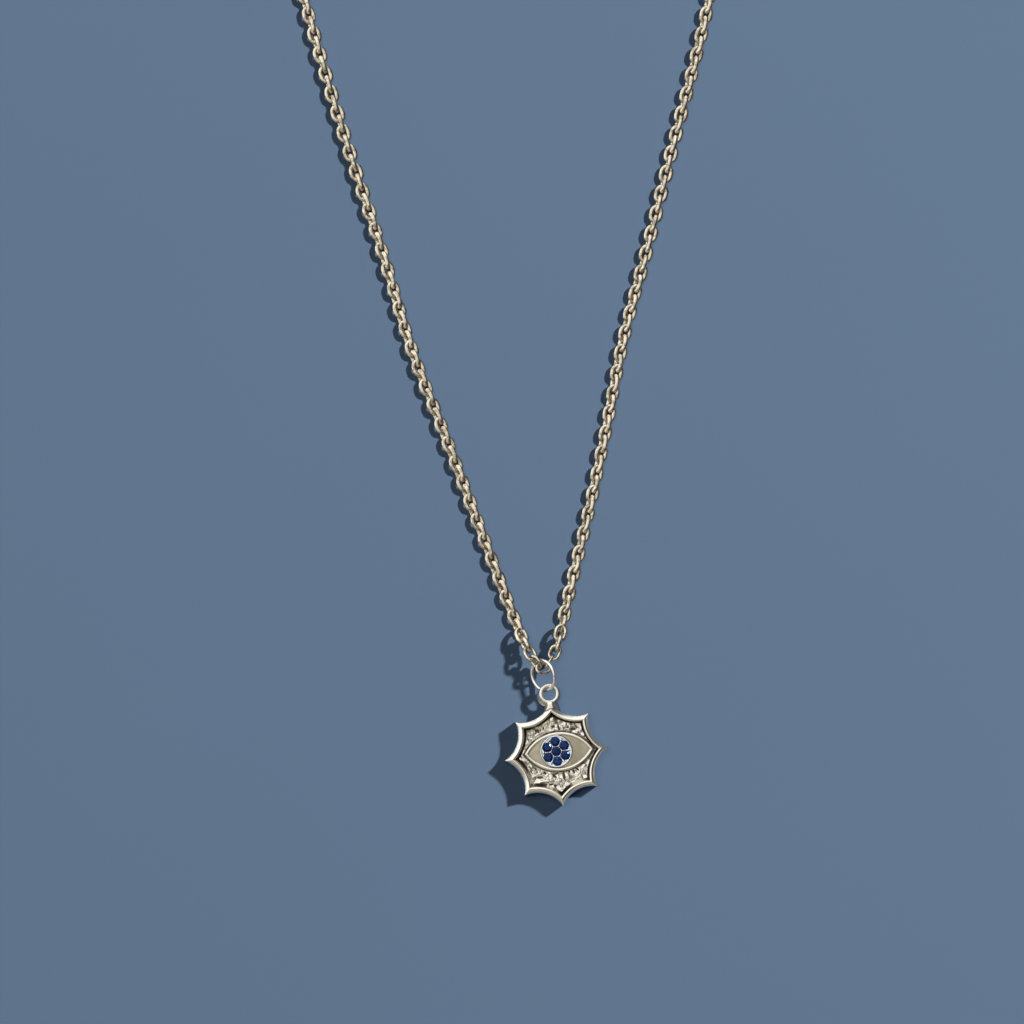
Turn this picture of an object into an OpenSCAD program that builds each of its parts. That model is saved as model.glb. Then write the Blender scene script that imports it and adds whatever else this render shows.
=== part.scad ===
// Necklace with an eight-pointed star pendant that carries an eye set with seven blue stones.
// It lies on its back. The origin is the middle of the star's flat back, Z points out of its
// front and Y towards the hanging loop. Sizes are in millimetres.

/* [Star] */
// Distance from the centre to the tip of a point
tip_r = 5.73; // [5.4:0.01:7]
// Distance from the centre to the deepest place between two points
valley_r = 4.49; // [4.2:0.01:4.8]
// Height of the rim's crest above the back
crest_z = 1.8; // [1.6:0.05:2.6]
// Height of the outer wall, where its bevel starts
wall_z = 1.45; // [1.2:0.05:1.5]
// Height of the sunk field inside the rim
field_z = 1.1; // [0.8:0.05:1.2]
// Width of the rim's outer bevel
outer_bevel = 0.28; // [0.1:0.01:0.35]
// Width of the flat along the rim's crest
crest_w = 0.12; // [0.05:0.01:0.2]
// Width of the rim's slope down to the field
inner_bevel = 0.3; // [0.1:0.01:0.35]

/* [Rays] */
// Rays cut round the eye in each eighth of the star
rays_per_point = 4; // [4:1:4]
// Half width of a ray at its inner end
ray_r_in = 0.1; // [0.06:0.01:0.14]
// Half width of a ray at its outer end
ray_r_out = 0.24; // [0.16:0.01:0.28]
// How far a ray's middle lies under the field
ray_sink = 0.04; // [0.02:0.01:0.06]

/* [Eye] */
// Width of the eye from corner to corner, along its lids' crest
eye_w = 7.1; // [6.8:0.05:7.4]
// Height of the eye between its lids' crests
eye_h = 3.9; // [3.7:0.05:4.1]
// How far the eye's middle sits right of the star's centre
eye_x = 0.3; // [0:0.05:0.4]
// How far the eye's middle sits above the star's centre
eye_y = 0.25; // [0:0.05:0.3]
// Turn of the eye in degrees
eye_turn = -2.5; // [-4:0.5:4]
// Height of the lids' crest above the back
lid_z = 1.7; // [1.6:0.05:1.9]
// Height of the flat white of the eye above the back
white_z = 1.4; // [1.35:0.05:1.5]
// Width of the lids' crest
lid_w = 0.1; // [0.06:0.01:0.16]
// Width of the slope on each side of the lids' crest
lid_slope = 0.16; // [0.1:0.01:0.2]

/* [Iris] */
// Height of the cup's own floor above the back
cup_z = 1.15; // [0.8:0.05:1.2]
// Height of the plate between the stones above the back
plate_z = 1.75; // [1.7:0.01:1.8]
// Height of the cup's rim above the plate
cup_rim_h = 0.2; // [0.1:0.01:0.3]
// Width of the cup's rim at its top
cup_rim_w = 0.08; // [0.05:0.01:0.1]
// Width of the rim's slope down to the plate
cup_slope = 0.05; // [0.03:0.01:0.06]
// Width of plate left outside the outer stones' seats
plate_edge = 0.03; // [0.02:0.01:0.05]
// How far the cup's centre sits above the star's centre
iris_y = 0.32; // [0.2:0.01:0.4]
// Clearance between the cup and its hole
cup_gap = 0.04; // [0.03:0.01:0.06]

/* [Stones] */
// Diameter of a stone
stone_d = 0.92; // [0.86:0.01:0.93]
// Height of a stone above its girdle
crown_h = 0.14; // [0.12:0.01:0.18]
// Depth of a stone below its girdle
pavilion_h = 0.4; // [0.36:0.01:0.42]
// Thickness of a stone's girdle
girdle_h = 0.03; // [0.02:0.01:0.04]
// Width of the table as a share of the stone's diameter
table_share = 0.56; // [0.5:0.01:0.6]
// Clearance between a stone and its seat
seat_gap = 0.03; // [0.02:0.01:0.035]
// White metal left between two neighbouring stones
stone_web = 0.17; // [0.15:0.01:0.2]
// Radius of the small beads that hold the stones
bead_r = 0.1; // [0.06:0.01:0.11]

/* [Hanging loop] */
// Mean radius of the loop on the top point
loop_r = 0.88; // [0.86:0.01:0.95]
// Thickness of the loop's wall
loop_wall = 0.3; // [0.24:0.01:0.34]
// Depth of the loop along its hole
loop_depth = 0.42; // [0.36:0.01:0.5]
// How far the loop's centre stands past the tip
loop_reach = 0.87; // [0.8:0.01:0.95]
// Height of the loop's middle above the back
loop_z = 1.4; // [1.35:0.01:1.45]

/* [Jump ring] */
// Mean radius of the ring that the pendant hangs on
ring_r = 1.68; // [1.64:0.01:1.72]
// Diameter of the ring's wire
ring_wire = 0.33; // [0.28:0.01:0.36]

/* [Chain] */
// Length of a link outside
link_l = 1.8; // [1.78:0.01:1.84]
// Width of a link outside
link_w = 1.33; // [1.28:0.01:1.36]
// Diameter of a link's wire
link_wire = 0.28; // [0.24:0.01:0.3]
// Width across corners of the plain strand that stands for the rest of each arm
strand_d = 1.3; // [1.1:0.05:1.4]
// Height of the strand's middle above the surface
strand_z = 0.62; // [0.56:0.01:0.7]

/* [Clasp] */
// Mean radius of the round clasp
clasp_r = 2.5; // [2.4:0.05:2.6]
// Diameter of the clasp's tube
clasp_tube = 1.1; // [1:0.05:1.2]
// Mean radius of the clasp's small eye
clasp_eye_r = 0.75; // [0.72:0.01:0.8]
// Diameter of the eye's wire
clasp_eye_wire = 0.44; // [0.4:0.01:0.46]
// Height of the clasp's middle above the surface
clasp_z = 1.02; // [1:0.01:1.2]
// Mean radius of the end ring in the clasp's small eye
end_ring_l_r = 1.1; // [1.06:0.01:1.14]
// Mean radius of the end ring that the clasp closes on
end_ring_r_r = 1.35; // [1.32:0.01:1.4]
// Diameter of the end rings' wire
end_ring_wire = 0.34; // [0.3:0.01:0.35]

/* [Hidden] */
// Half the angle from one point of the star to the next
half_step = 22.5;
points = 180 / half_step;
// The scallop between two points is an arc through both tips and the valley
scallop_sag = tip_r * cos(half_step) - valley_r;
scallop_half = tip_r * sin(half_step);
scallop_r = (scallop_half * scallop_half + scallop_sag * scallop_sag) / (2 * scallop_sag);
scallop_at = valley_r + scallop_r;
blank_r = scallop_at * cos(half_step);
rim_w = outer_bevel + crest_w + inner_bevel;
// Each lid is an arc through both corners
lid_r = (eye_w * eye_w + eye_h * eye_h) / (4 * eye_h);
lid_at = lid_r - eye_h / 2;
seat_r = stone_d / 2 + seat_gap;
girdle_z = plate_z + girdle_h;
stones_r = stone_d + stone_web;
plate_r = stones_r + seat_r + plate_edge;
rim_in = plate_r + cup_slope;
cup_r = rim_in + cup_rim_w;
cup_hole_r = cup_r + cup_gap;
loop_at = [0, tip_r + loop_reach, loop_z];
cut = 0.5;

// Places are measured from the hanging loop's centre along X and Y, and from the surface
// along Z. A pose is x, y, z, heading, climb and roll.
ring_pose = [-0.36, 2.09, 1.37, 95, 3, -45];
link_mid_pose = [-0.27, 2.86, 1.56, -1, -21, -17];
link_left_poses = [
    [-0.98, 3.64, 1.59, 122, -4, 134],
    [-1.48, 4.61, 1.42, 112, -15, 25],
];
link_right_poses = [
    [0.5, 3.5, 1.17, 49, -8, 91],
    [1.2, 4.37, 1.01, 60, -8, 0],
];

surface_gap = 0.01;
wire_gap = 0.1;
end_wire_r = end_ring_wire / 2;
link_arc_r = (link_w - link_wire) / 2;
link_straight = link_l - link_w;
link_end = (link_l - link_wire) / 2;
eye_at = -(clasp_r + clasp_tube / 2 + clasp_eye_r + clasp_eye_wire / 2 - 0.15);
end_left_z = end_ring_l_r + end_wire_r + surface_gap;
end_right_z = end_ring_r_r + end_wire_r + surface_gap;
// Each end ring stands upright: its wire is inside the hole of what it holds
function ring_reach(r, rise) = sqrt(r * r - rise * rise);
eye_far_side = eye_at + clasp_eye_r - clasp_eye_wire / 2;
end_left_at = eye_far_side - wire_gap - end_wire_r - ring_reach(end_ring_l_r, end_left_z - clasp_z);
end_right_at = clasp_r + 0.14;
link_left_z = 0.9;
link_right_z = 1.1;
end_hold = end_wire_r + link_wire / 2 + 1.4 * wire_gap;
link_left_at = end_left_at - ring_reach(end_ring_l_r, end_left_z - link_left_z) + end_hold - link_end;
link_right_at = end_right_at + ring_reach(end_ring_r_r, end_right_z - link_right_z)
    - end_hold + link_end;

// The clasp lies at the far end, along its own line. Each arm runs straight up to its end link.
clasp_at = [16.93, 197.12];
clasp_turn = -5.5;
strand_gap = 0.15;
function clasp_line(along, z) = [
    clasp_at[0] + along * cos(clasp_turn), clasp_at[1] + along * sin(clasp_turn), z,
];
arm_end_left = link_left_at - link_l / 2 - strand_gap;
arm_end_right = link_right_at + link_l / 2 + strand_gap;
arm_run = 2.6;

// The route of the chain's two arms, from the pendant round to the clasp
left_route = [
    [-1.95, 5.7, 1.12], [-2.4, 7.6, 0.76], [-3.1, 10.7, strand_z], [-5.2, 19.7, strand_z],
    [-7.5, 28.8, strand_z], [-10, 38.9, strand_z], [-11.9, 50.2, strand_z],
    [-13.9, 61.4, strand_z], [-15.7, 72.6, strand_z], [-17.6, 84.3, strand_z],
    [-19.5, 96.5, strand_z], [-21.5, 109, strand_z], [-23.5, 121.5, strand_z],
    [-25.5, 134, strand_z], [-27.3, 145, strand_z], [-28.5, 157.6, strand_z],
    [-26, 170.3, strand_z], [-19.7, 181.7, strand_z], [-10.2, 190.6, strand_z],
    [1, 196.6, 0.7], clasp_line(arm_end_left - 2 * arm_run, 0.8),
    clasp_line(arm_end_left - arm_run, 0.86), clasp_line(arm_end_left, link_left_z),
];
right_route = [
    [1.75, 5.35, 0.86], [2.2, 7.1, 0.7], [3.5, 10.7, strand_z], [6.6, 19.3, strand_z],
    [9.6, 27.9, strand_z], [13, 37.3, strand_z], [17.1, 47.5, strand_z],
    [21.1, 58.1, strand_z], [25.3, 68.4, strand_z], [29.6, 80.2, strand_z],
    [33.9, 91.9, strand_z], [38.2, 103.7, strand_z], [42.5, 115.4, strand_z],
    [46.7, 127, strand_z], [50.6, 137.5, strand_z], [54.1, 148.9, strand_z],
    [54.3, 161.9, strand_z], [50.5, 174.3, strand_z], [43, 185, strand_z],
    [33.6, 192.4, 0.7], clasp_line(arm_end_right + 2 * arm_run, 0.86),
    clasp_line(arm_end_right + arm_run, 0.98), clasp_line(arm_end_right, link_right_z),
];
rings_per_stretch = 2;
strand_sides = 8;

// Star

// Turns a profile round the centre of each scallop. Its points are distance past the
// scallop's edge and height, from the bottom up.
module scallop_cutters(levels) {
    low = levels[0][1] - cut;
    high = levels[len(levels) - 1][1] + cut;
    profile = concat(
        [[0, low], [scallop_r + levels[0][0], low]],
        [for (level = levels) [scallop_r + level[0], level[1]]],
        [[scallop_r + levels[len(levels) - 1][0], high], [0, high]]
    );
    for (k = [0 : points - 1])
        rotate(90 - half_step - k * 2 * half_step)
            translate([scallop_at, 0, 0])
                rotate_extrude($fn = 96) polygon(profile);
}

// A star whose edge is set in by the levels' first number at their heights
module star_solid(levels) {
    low = levels[0][1];
    high = levels[len(levels) - 1][1];
    difference() {
        translate([0, 0, low]) cylinder(r = blank_r, h = high - low, $fn = 96);
        scallop_cutters(levels);
    }
}

module star_tray() {
    difference() {
        star_solid([[0, 0], [0, wall_z], [outer_bevel, crest_z]]);
        star_solid([
            [rim_w, field_z],
            [outer_bevel + crest_w, crest_z],
            [outer_bevel + crest_w, crest_z + cut],
        ]);
    }
}

// Raised rays on the field, longer towards the points than towards the valleys
module rays() {
    count = points * rays_per_point;
    start = eye_h / 2 - 0.1;
    for (k = [0 : count - 1]) {
        reach = k % rays_per_point == 0 ? tip_r - 0.95 : valley_r - 0.4;
        rotate([0, 90, k * 360 / count])
            translate([ray_sink - field_z, 0, start])
                cylinder(r1 = ray_r_in, r2 = ray_r_out, h = reach - start, $fn = 32);
    }
}

// Eye

module in_eye() {
    translate([eye_x, eye_y, 0]) rotate(eye_turn) children();
}

// The common part of two round blocks, one for each lid. Levels are as in star_solid, with
// the edge set out.
module lens_solid(levels) {
    profile = concat(
        [[0, levels[0][1]]],
        [for (level = levels) [lid_r + level[0], level[1]]],
        [[0, levels[len(levels) - 1][1]]]
    );
    intersection() {
        translate([0, lid_at, 0]) rotate_extrude($fn = 128) polygon(profile);
        translate([0, -lid_at, 0]) rotate_extrude($fn = 128) polygon(profile);
    }
}

module lids() {
    half = lid_w / 2;
    lens_solid([
        [half + lid_slope, field_z - 0.2], [half + lid_slope, white_z - 0.1], [half, lid_z],
    ]);
}

module white_recess() {
    half = lid_w / 2;
    lens_solid([[-half - lid_slope, white_z], [-half, lid_z], [-half, lid_z + cut]]);
}

// Hanging loop, soldered to the star's top point by a tapering neck

module loop_wall_ring() {
    soft = 0.12;
    half_w = loop_wall / 2;
    half_d = loop_depth / 2;
    rotate_extrude($fn = 64)
        translate([loop_r, 0])
            polygon([
                [-half_w, -half_d + soft], [-half_w + soft, -half_d], [half_w - soft, -half_d],
                [half_w, -half_d + soft], [half_w, half_d - soft], [half_w - soft, half_d],
                [-half_w + soft, half_d], [-half_w, half_d - soft],
            ]);
}

module neck() {
    root = tip_r - 0.95;
    top = loop_at[1] - loop_r;
    translate([0, root, loop_z - 0.1])
        rotate([-90, 0, 0])
            cylinder(r1 = 0.46, r2 = 0.26, h = top - root, $fn = 48);
}

module loop_hole() {
    translate([loop_at[0], loop_at[1], loop_z - loop_depth])
        cylinder(r = loop_r - loop_wall / 2, h = 2 * loop_depth, $fn = 64);
}

module pendant_body() {
    color("khaki") {
        difference() {
            union() {
                star_tray();
                rays();
                in_eye() lids();
                difference() {
                    neck();
                    loop_hole();
                }
                translate(loop_at) loop_wall_ring();
            }
            in_eye() white_recess();
            translate([0, iris_y, cup_z - cup_gap]) cylinder(r = cup_hole_r, h = crest_z, $fn = 64);
        }
    }
}

// Iris

function stone_angle(k) = 90 + (k - 1) * 60;
function stone_place(k) = k == 0 ? [0, 0] : stones_r * [cos(stone_angle(k)), sin(stone_angle(k))];

module cup_blank() {
    rotate_extrude($fn = 64)
        polygon([
            [0, cup_z], [cup_r, cup_z], [cup_r, plate_z + cup_rim_h],
            [rim_in, plate_z + cup_rim_h], [plate_r, plate_z], [0, plate_z],
        ]);
}

module seat(k) {
    depth = pavilion_h + seat_gap;
    translate(concat(stone_place(k), [girdle_z - girdle_h - seat_gap - depth]))
        cylinder(r1 = 0.08, r2 = seat_r, h = depth, $fn = 32);
    translate(concat(stone_place(k), [girdle_z - girdle_h - seat_gap]))
        cylinder(r = seat_r, h = crown_h + 2 * cup_rim_h, $fn = 32);
}

// Small beads between the stones hold them in their seats
module seat_beads() {
    inner_r = stones_r / sqrt(3);
    outer_r = plate_r - bead_r - 0.06;
    for (k = [1 : 6]) {
        angle = stone_angle(k) + 30;
        for (place_r = [inner_r, outer_r])
            translate([place_r * cos(angle), place_r * sin(angle), plate_z]) {
                cylinder(r = bead_r, h = crown_h / 2, $fn = 24);
                translate([0, 0, crown_h / 2]) sphere(r = bead_r, $fn = 24);
            }
    }
}

module iris_setting() {
    color("gainsboro")
        translate([0, iris_y, 0]) {
            difference() {
                cup_blank();
                for (k = [0 : 6]) seat(k);
            }
            difference() {
                seat_beads();
                translate([0, 0, plate_z - 2 * bead_r]) cylinder(r = cup_r, h = 1.5 * bead_r);
            }
        }
}

// Stones: a round cut with a table, eight crown mains with their halves, and eight pavilion mains

function turn_points(count, r, z, start) = [
    for (k = [0 : count - 1]) [r * cos(start + k * 360 / count), r * sin(start + k * 360 / count), z]
];

module round_stone() {
    mains = 8;
    sides = 2 * mains;
    step = 360 / mains;
    r = stone_d / 2;
    stone_points = concat(
        turn_points(mains, r * table_share, girdle_h / 2 + crown_h, step / 2),
        turn_points(sides, r, girdle_h / 2, 0),
        turn_points(sides, r, -girdle_h / 2, 0),
        [[0, 0, -girdle_h / 2 - pavilion_h]]
    );
    upper = mains;
    lower = mains + sides;
    culet = mains + 2 * sides;
    table = [[for (k = [mains - 1 : -1 : 0]) k]];
    crown = [
        for (k = [0 : mains - 1])
            let (next = (k + 1) % mains, a = upper + 2 * k, b = upper + (2 * k + 1) % sides,
                c = upper + (2 * k + 2) % sides)
            each [[k, b, a], [k, c, b], [k, next, c]]
    ];
    belt = [
        for (k = [0 : sides - 1])
            let (next = (k + 1) % sides)
            each [[upper + k, upper + next, lower + k], [upper + next, lower + next, lower + k]]
    ];
    pavilion = [for (k = [0 : sides - 1]) [lower + k, lower + (k + 1) % sides, culet]];
    polyhedron(points = stone_points, faces = concat(table, crown, belt, pavilion));
}

module stone(k) {
    color("midnightblue")
        translate([0, iris_y, girdle_z - girdle_h / 2])
            translate(stone_place(k))
                rotate(stone_angle(k)) round_stone();
}

// Rings and links

module wire_ring(mean_r, wire_d) {
    rotate_extrude($fn = 64) translate([mean_r, 0]) circle(d = wire_d, $fn = 32);
}

module posed(pose) {
    translate([loop_at[0] + pose[0], loop_at[1] + pose[1], pose[2]])
        rotate([pose[5], -pose[4], pose[3]]) children();
}

module bail_ring() {
    color("khaki") posed(ring_pose) wire_ring(ring_r, ring_wire);
}

module link() {
    for (side = [-1, 1]) {
        translate([side * link_straight / 2, 0, 0])
            rotate(side * 90 - 90)
                rotate([0, 0, -90])
                    rotate_extrude(angle = 180, $fn = 48)
                        translate([link_arc_r, 0]) circle(d = link_wire, $fn = 24);
        translate([-link_straight / 2, side * link_arc_r, 0])
            rotate([0, 90, 0]) cylinder(d = link_wire, h = link_straight, $fn = 24);
    }
}

module posed_link(pose) {
    color("khaki") posed(pose) link();
}

// Strand: the plain body of the chain's arms, swept along their routes

// A point between b and c on the smooth curve through a, b, c and d
function smooth_point(a, b, c, d, t) =
    b + t * (c - a) / 2
    + t * t * (a - 2.5 * b + 2 * c - 0.5 * d)
    + t * t * t * (1.5 * b - 0.5 * a - 1.5 * c + 0.5 * d);

function smooth_route(route, parts) =
    let (last = len(route) - 1)
    concat(
        [
            for (k = [0 : last - 1], j = [0 : parts - 1])
                smooth_point(route[max(k - 1, 0)], route[k], route[k + 1],
                    route[min(k + 2, last)], j / parts)
        ],
        [route[last]]
    );

function unit(v) = v / norm(v);

module strand(route) {
    path = smooth_route(route, rings_per_stretch);
    last = len(path) - 1;
    n = strand_sides;
    wall = [
        for (k = [0 : last])
            let (
                along = unit(path[min(k + 1, last)] - path[max(k - 1, 0)]),
                side = unit(cross([0, 0, 1], along)),
                up = cross(along, side)
            )
            for (j = [0 : n - 1])
                let (angle = (j + 0.5) * 360 / n)
                path[k] + strand_d / 2 * (cos(angle) * side + sin(angle) * up)
    ];
    sides = [
        for (k = [0 : last - 1], j = [0 : n - 1])
            let (a = k * n + j, b = k * n + (j + 1) % n)
            each [[a, b, b + n], [a, b + n, a + n]]
    ];
    ends = [[for (j = [n - 1 : -1 : 0]) j], [for (j = [0 : n - 1]) last * n + j]];
    color("khaki")
        translate([loop_at[0], loop_at[1], 0])
            polyhedron(points = wall, faces = concat(sides, ends));
}

// Clasp end

module at_clasp() {
    translate([loop_at[0] + clasp_at[0], loop_at[1] + clasp_at[1], 0])
        rotate(clasp_turn) children();
}

module clasp() {
    color("khaki")
        at_clasp() translate([0, 0, clasp_z]) {
            wire_ring(clasp_r, clasp_tube);
            translate([eye_at, 0, 0]) wire_ring(clasp_eye_r, clasp_eye_wire);
        }
}

module end_ring(along, mean_r, height) {
    color("khaki")
        at_clasp() translate([along, 0, height])
            rotate([90, 0, 0]) wire_ring(mean_r, end_ring_wire);
}

module end_link(along, height) {
    color("khaki") at_clasp() translate([along, 0, height]) link();
}

pendant_body();
iris_setting();
stone(0);  // stone_center
stone(1);  // stone_1
stone(2);  // stone_2
stone(3);  // stone_3
stone(4);  // stone_4
stone(5);  // stone_5
stone(6);  // stone_6
bail_ring();
posed_link(link_mid_pose);  // link_mid
posed_link(link_left_poses[0]);  // link_left_1
posed_link(link_left_poses[1]);  // link_left_2
posed_link(link_right_poses[0]);  // link_right_1
posed_link(link_right_poses[1]);  // link_right_2
strand(left_route);  // chain_left
strand(right_route);  // chain_right
end_link(link_left_at, link_left_z);  // link_left_end
end_link(link_right_at, link_right_z);  // link_right_end
end_ring(end_left_at, end_ring_l_r, end_left_z);  // end_ring_left
end_ring(end_right_at, end_ring_r_r, end_right_z);  // end_ring_right
clasp();
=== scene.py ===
"""Looks of an evil eye pendant on a fine cable chain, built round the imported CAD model."""

import math

import bmesh
import bpy
import numpy as np
from bpy.props import FloatProperty, FloatVectorProperty, IntProperty, PointerProperty
from mathutils import Euler, Matrix, Vector


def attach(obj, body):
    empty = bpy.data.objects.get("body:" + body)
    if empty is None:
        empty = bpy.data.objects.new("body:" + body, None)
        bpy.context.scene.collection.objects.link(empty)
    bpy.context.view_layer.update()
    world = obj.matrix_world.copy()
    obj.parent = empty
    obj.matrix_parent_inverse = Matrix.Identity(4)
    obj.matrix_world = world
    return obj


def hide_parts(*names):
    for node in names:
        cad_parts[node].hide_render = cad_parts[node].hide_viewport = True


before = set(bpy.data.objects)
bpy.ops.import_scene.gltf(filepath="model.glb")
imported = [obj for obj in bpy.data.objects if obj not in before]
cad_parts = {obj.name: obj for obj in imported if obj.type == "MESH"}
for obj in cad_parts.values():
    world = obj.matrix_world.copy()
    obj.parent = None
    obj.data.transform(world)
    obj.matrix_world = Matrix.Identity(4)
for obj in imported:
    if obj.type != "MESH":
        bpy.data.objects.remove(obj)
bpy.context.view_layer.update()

bl_info = {
    "name": "Evil eye pendant necklace",
    "version": (1, 0, 0),
    "blender": (4, 5, 0),
    "location": "View3D > Sidebar > Pendant",
    "description": "Builds the looks of an eye pendant, its jump ring, its chain and its clasp",
    "category": "Object",
}

MM = 0.001
BODY = "root"
STONES = ["stone_center"] + [f"stone_{k}" for k in range(1, 7)]

# Places from the CAD, in millimetres. A pose is x, y, z, heading, climb and roll, and its
# x and y are measured from the middle of the hanging loop.
LOOP_AT = (0.0, 6.6, 1.4)
IRIS_AT = (0.0, 0.32)
CUP_HOLE_R = 1.78
CUP_HOLE_Z = 1.11
RING_POSE = (-0.36, 2.09, 1.37, 95, 3, -45)
LINK_POSES = {
    "link_mid": (-0.27, 2.86, 1.56, -1, -21, -17),
    "link_left_1": (-0.98, 3.64, 1.59, 122, -4, 134),
    "link_left_2": (-1.48, 4.61, 1.42, 112, -15, 25),
    "link_right_1": (0.5, 3.5, 1.17, 49, -8, 91),
    "link_right_2": (1.2, 4.37, 1.01, 60, -8, 0),
}
CLASP_AT = (16.93, 197.12)
CLASP_TURN = -5.5


# Node trees


class Wire:
    """The output of a node. Arithmetic on it adds Math nodes."""

    def __init__(self, nodes, socket):
        self.nodes = nodes
        self.socket = socket

    def math(self, operation, *values):
        return self.nodes.node("ShaderNodeMath", {"operation": operation}, dict(enumerate(values)))

    def __add__(self, other):
        return self.math("ADD", self, other)

    __radd__ = __add__

    def __sub__(self, other):
        return self.math("SUBTRACT", self, other)

    def __rsub__(self, other):
        return self.math("SUBTRACT", other, self)

    def __mul__(self, other):
        return self.math("MULTIPLY", self, other)

    __rmul__ = __mul__

    def __truediv__(self, other):
        return self.math("DIVIDE", self, other)

    def between(self, low, high):
        """0 under low, 1 over high, smooth between them."""
        return self.nodes.node(
            "ShaderNodeMapRange",
            {"interpolation_type": "SMOOTHSTEP", "clamp": True},
            {"Value": self, "From Min": low, "From Max": high},
        )


class Nodes:
    """A node tree. Every node comes from node()."""

    def __init__(self, tree):
        self.tree = tree

    def node(self, kind, settings=None, sockets=None, output=0):
        """A node: its settings are set first, then its sockets' values or links."""
        node = self.tree.nodes.new(kind)
        for key, value in (settings or {}).items():
            setattr(node, key, value)
        for key, value in (sockets or {}).items():
            if isinstance(value, Wire):
                self.tree.links.new(value.socket, node.inputs[key])
            else:
                node.inputs[key].default_value = value
        return Wire(self, node.outputs[output] if node.outputs else None)


class Finish(Nodes):
    """The node tree of a material or of the room."""

    def __init__(self, name, room=False):
        self.material = (bpy.data.worlds if room else bpy.data.materials).new(name)
        self.material.use_nodes = True
        super().__init__(self.material.node_tree)
        self.tree.nodes.clear()

    def place(self, stretch=(1, 1, 1), offset=0.0):
        """Object coordinates in millimetres, stretched along the axes and moved."""
        where = self.node("ShaderNodeTexCoord", output="Object")
        return self.node("ShaderNodeMapping", sockets={
            "Vector": where, "Scale": tuple(k / MM for k in stretch), "Location": (offset,) * 3,
        })

    def noise(self, size, detail=3, stretch=(1, 1, 1), roughness=0.5, offset=0.0):
        """Noise with features about size millimetres across."""
        return self.node(
            "ShaderNodeTexNoise",
            sockets={
                "Vector": self.place(stretch, offset), "Scale": 1 / size, "Detail": detail,
                "Roughness": roughness,
            },
        )

    def mix(self, share, a, b):
        """Colour a, turning into colour b as share goes from 0 to 1."""
        return self.node("ShaderNodeMix", {"data_type": "RGBA"}, {0: share, 6: a, 7: b}, output=2)

    def bump(self, height, depth, after=None):
        """A normal from a height. Depth is in millimetres."""
        sockets = {"Height": height, "Strength": 1, "Distance": depth * MM}
        if after:
            sockets["Normal"] = after
        return self.node("ShaderNodeBump", sockets=sockets)

    def surface(self, **sockets):
        """The Principled surface, with the socket names' spaces written as underscores."""
        named = {key.replace("_", " "): value for key, value in sockets.items()}
        shader = self.node("ShaderNodeBsdfPrincipled", sockets=named)
        self.node("ShaderNodeOutputMaterial", sockets={"Surface": shader})
        return self.material

    def metal(self, tone, rough, normal):
        return self.surface(Base_Color=tone, Metallic=1.0, Roughness=rough, Normal=normal)


def rgba(colour, k=1.0):
    """A colour, made k times as light, for a colour socket."""
    return (*[c * k for c in colour], 1.0)


# Finishes


def polished_gold(name, colour, roughness=0.13, wave=0.006, scratch=0.0012, dull=0.0):
    """Cast or drawn gold with a buffed surface: faint waves, hairline scratches, warmer specks at
    random.

    Dull is the share of a dark tone that the chain takes in blotches at random.
    """
    finish = Finish(name)
    cloud = finish.noise(1.6, 2)
    waves = finish.noise(0.7, 2)
    hair_a = finish.noise(0.05, 3, stretch=(1, 0.12, 0.5))
    hair_b = finish.noise(0.05, 3, stretch=(0.1, 1, 0.5))
    specks = finish.noise(0.16, 4, roughness=0.65)
    tone = finish.mix(cloud.between(0.3, 0.7), rgba(colour, 0.93), rgba(colour))
    warm = tuple(c * k for c, k in zip(colour, (1.0, 0.9, 0.74)))
    tone = finish.mix(specks.between(0.55, 0.8) * 0.35, tone, rgba(warm))
    if dull:
        # Dark blotches at random over the chain
        blotches = finish.noise(0.55, 3, roughness=0.6)
        tone = finish.mix(blotches.between(0.46, 0.62) * dull, tone, rgba(warm, 0.22))
    rough = roughness + 0.09 * specks.between(0.45, 0.75) + 0.05 * hair_a.between(0.55, 0.7)
    normal = finish.bump(hair_a + hair_b, scratch, finish.bump(waves, wave))
    return finish.metal(tone, rough, normal)


def chiselled_gold(name, colour, painted_shade):
    """Gold struck with a graver: bright facets, and painted shade as dark as the mesh's hollow
    attribute says.
    """
    finish = Finish(name)
    hollow = finish.node("ShaderNodeAttribute", {"attribute_name": "hollow"}, output="Fac")
    grit = finish.noise(0.09, 4, roughness=0.7)
    cloud = finish.noise(0.8, 2)
    # Painted shade: the dark colour laid where the hollow attribute is high, broken up by grit
    dark = (hollow + (grit - 0.5) * 0.3).between(0.3, 0.8)
    tone = finish.mix(cloud.between(0.3, 0.7), rgba(colour, 0.97), rgba(colour, 1.05))
    tone = finish.mix(dark * 0.92, tone, rgba(painted_shade))
    rough = 0.27 + 0.1 * grit.between(0.4, 0.7) + 0.2 * dark
    normal = finish.bump(grit, 0.008, finish.bump(finish.noise(0.25, 2), 0.012))
    return finish.metal(tone, rough, normal)


def satin_gold(name, colour):
    """The eye's flat white, brushed to a satin finish."""
    finish = Finish(name)
    brush = finish.noise(0.045, 4, stretch=(1, 0.1, 1), roughness=0.6)
    cloud = finish.noise(0.7, 3)
    tone = finish.mix(cloud.between(0.3, 0.7), rgba(colour, 0.86), rgba(colour))
    rough = 0.34 + 0.12 * brush.between(0.35, 0.65)
    normal = finish.bump(brush, 0.004, finish.bump(cloud, 0.03))
    return finish.metal(tone, rough, normal)


def white_metal(name, colour):
    """Bright rhodium plate round the stones."""
    finish = Finish(name)
    waves = finish.noise(0.3, 2)
    grit = finish.noise(0.06, 4, roughness=0.65)
    tone = finish.mix(grit.between(0.5, 0.8), rgba(colour), rgba(colour, 0.78))
    rough = 0.14 + 0.14 * grit.between(0.45, 0.75)
    normal = finish.bump(grit, 0.002, finish.bump(waves, 0.008))
    return finish.metal(tone, rough, normal)


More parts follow.
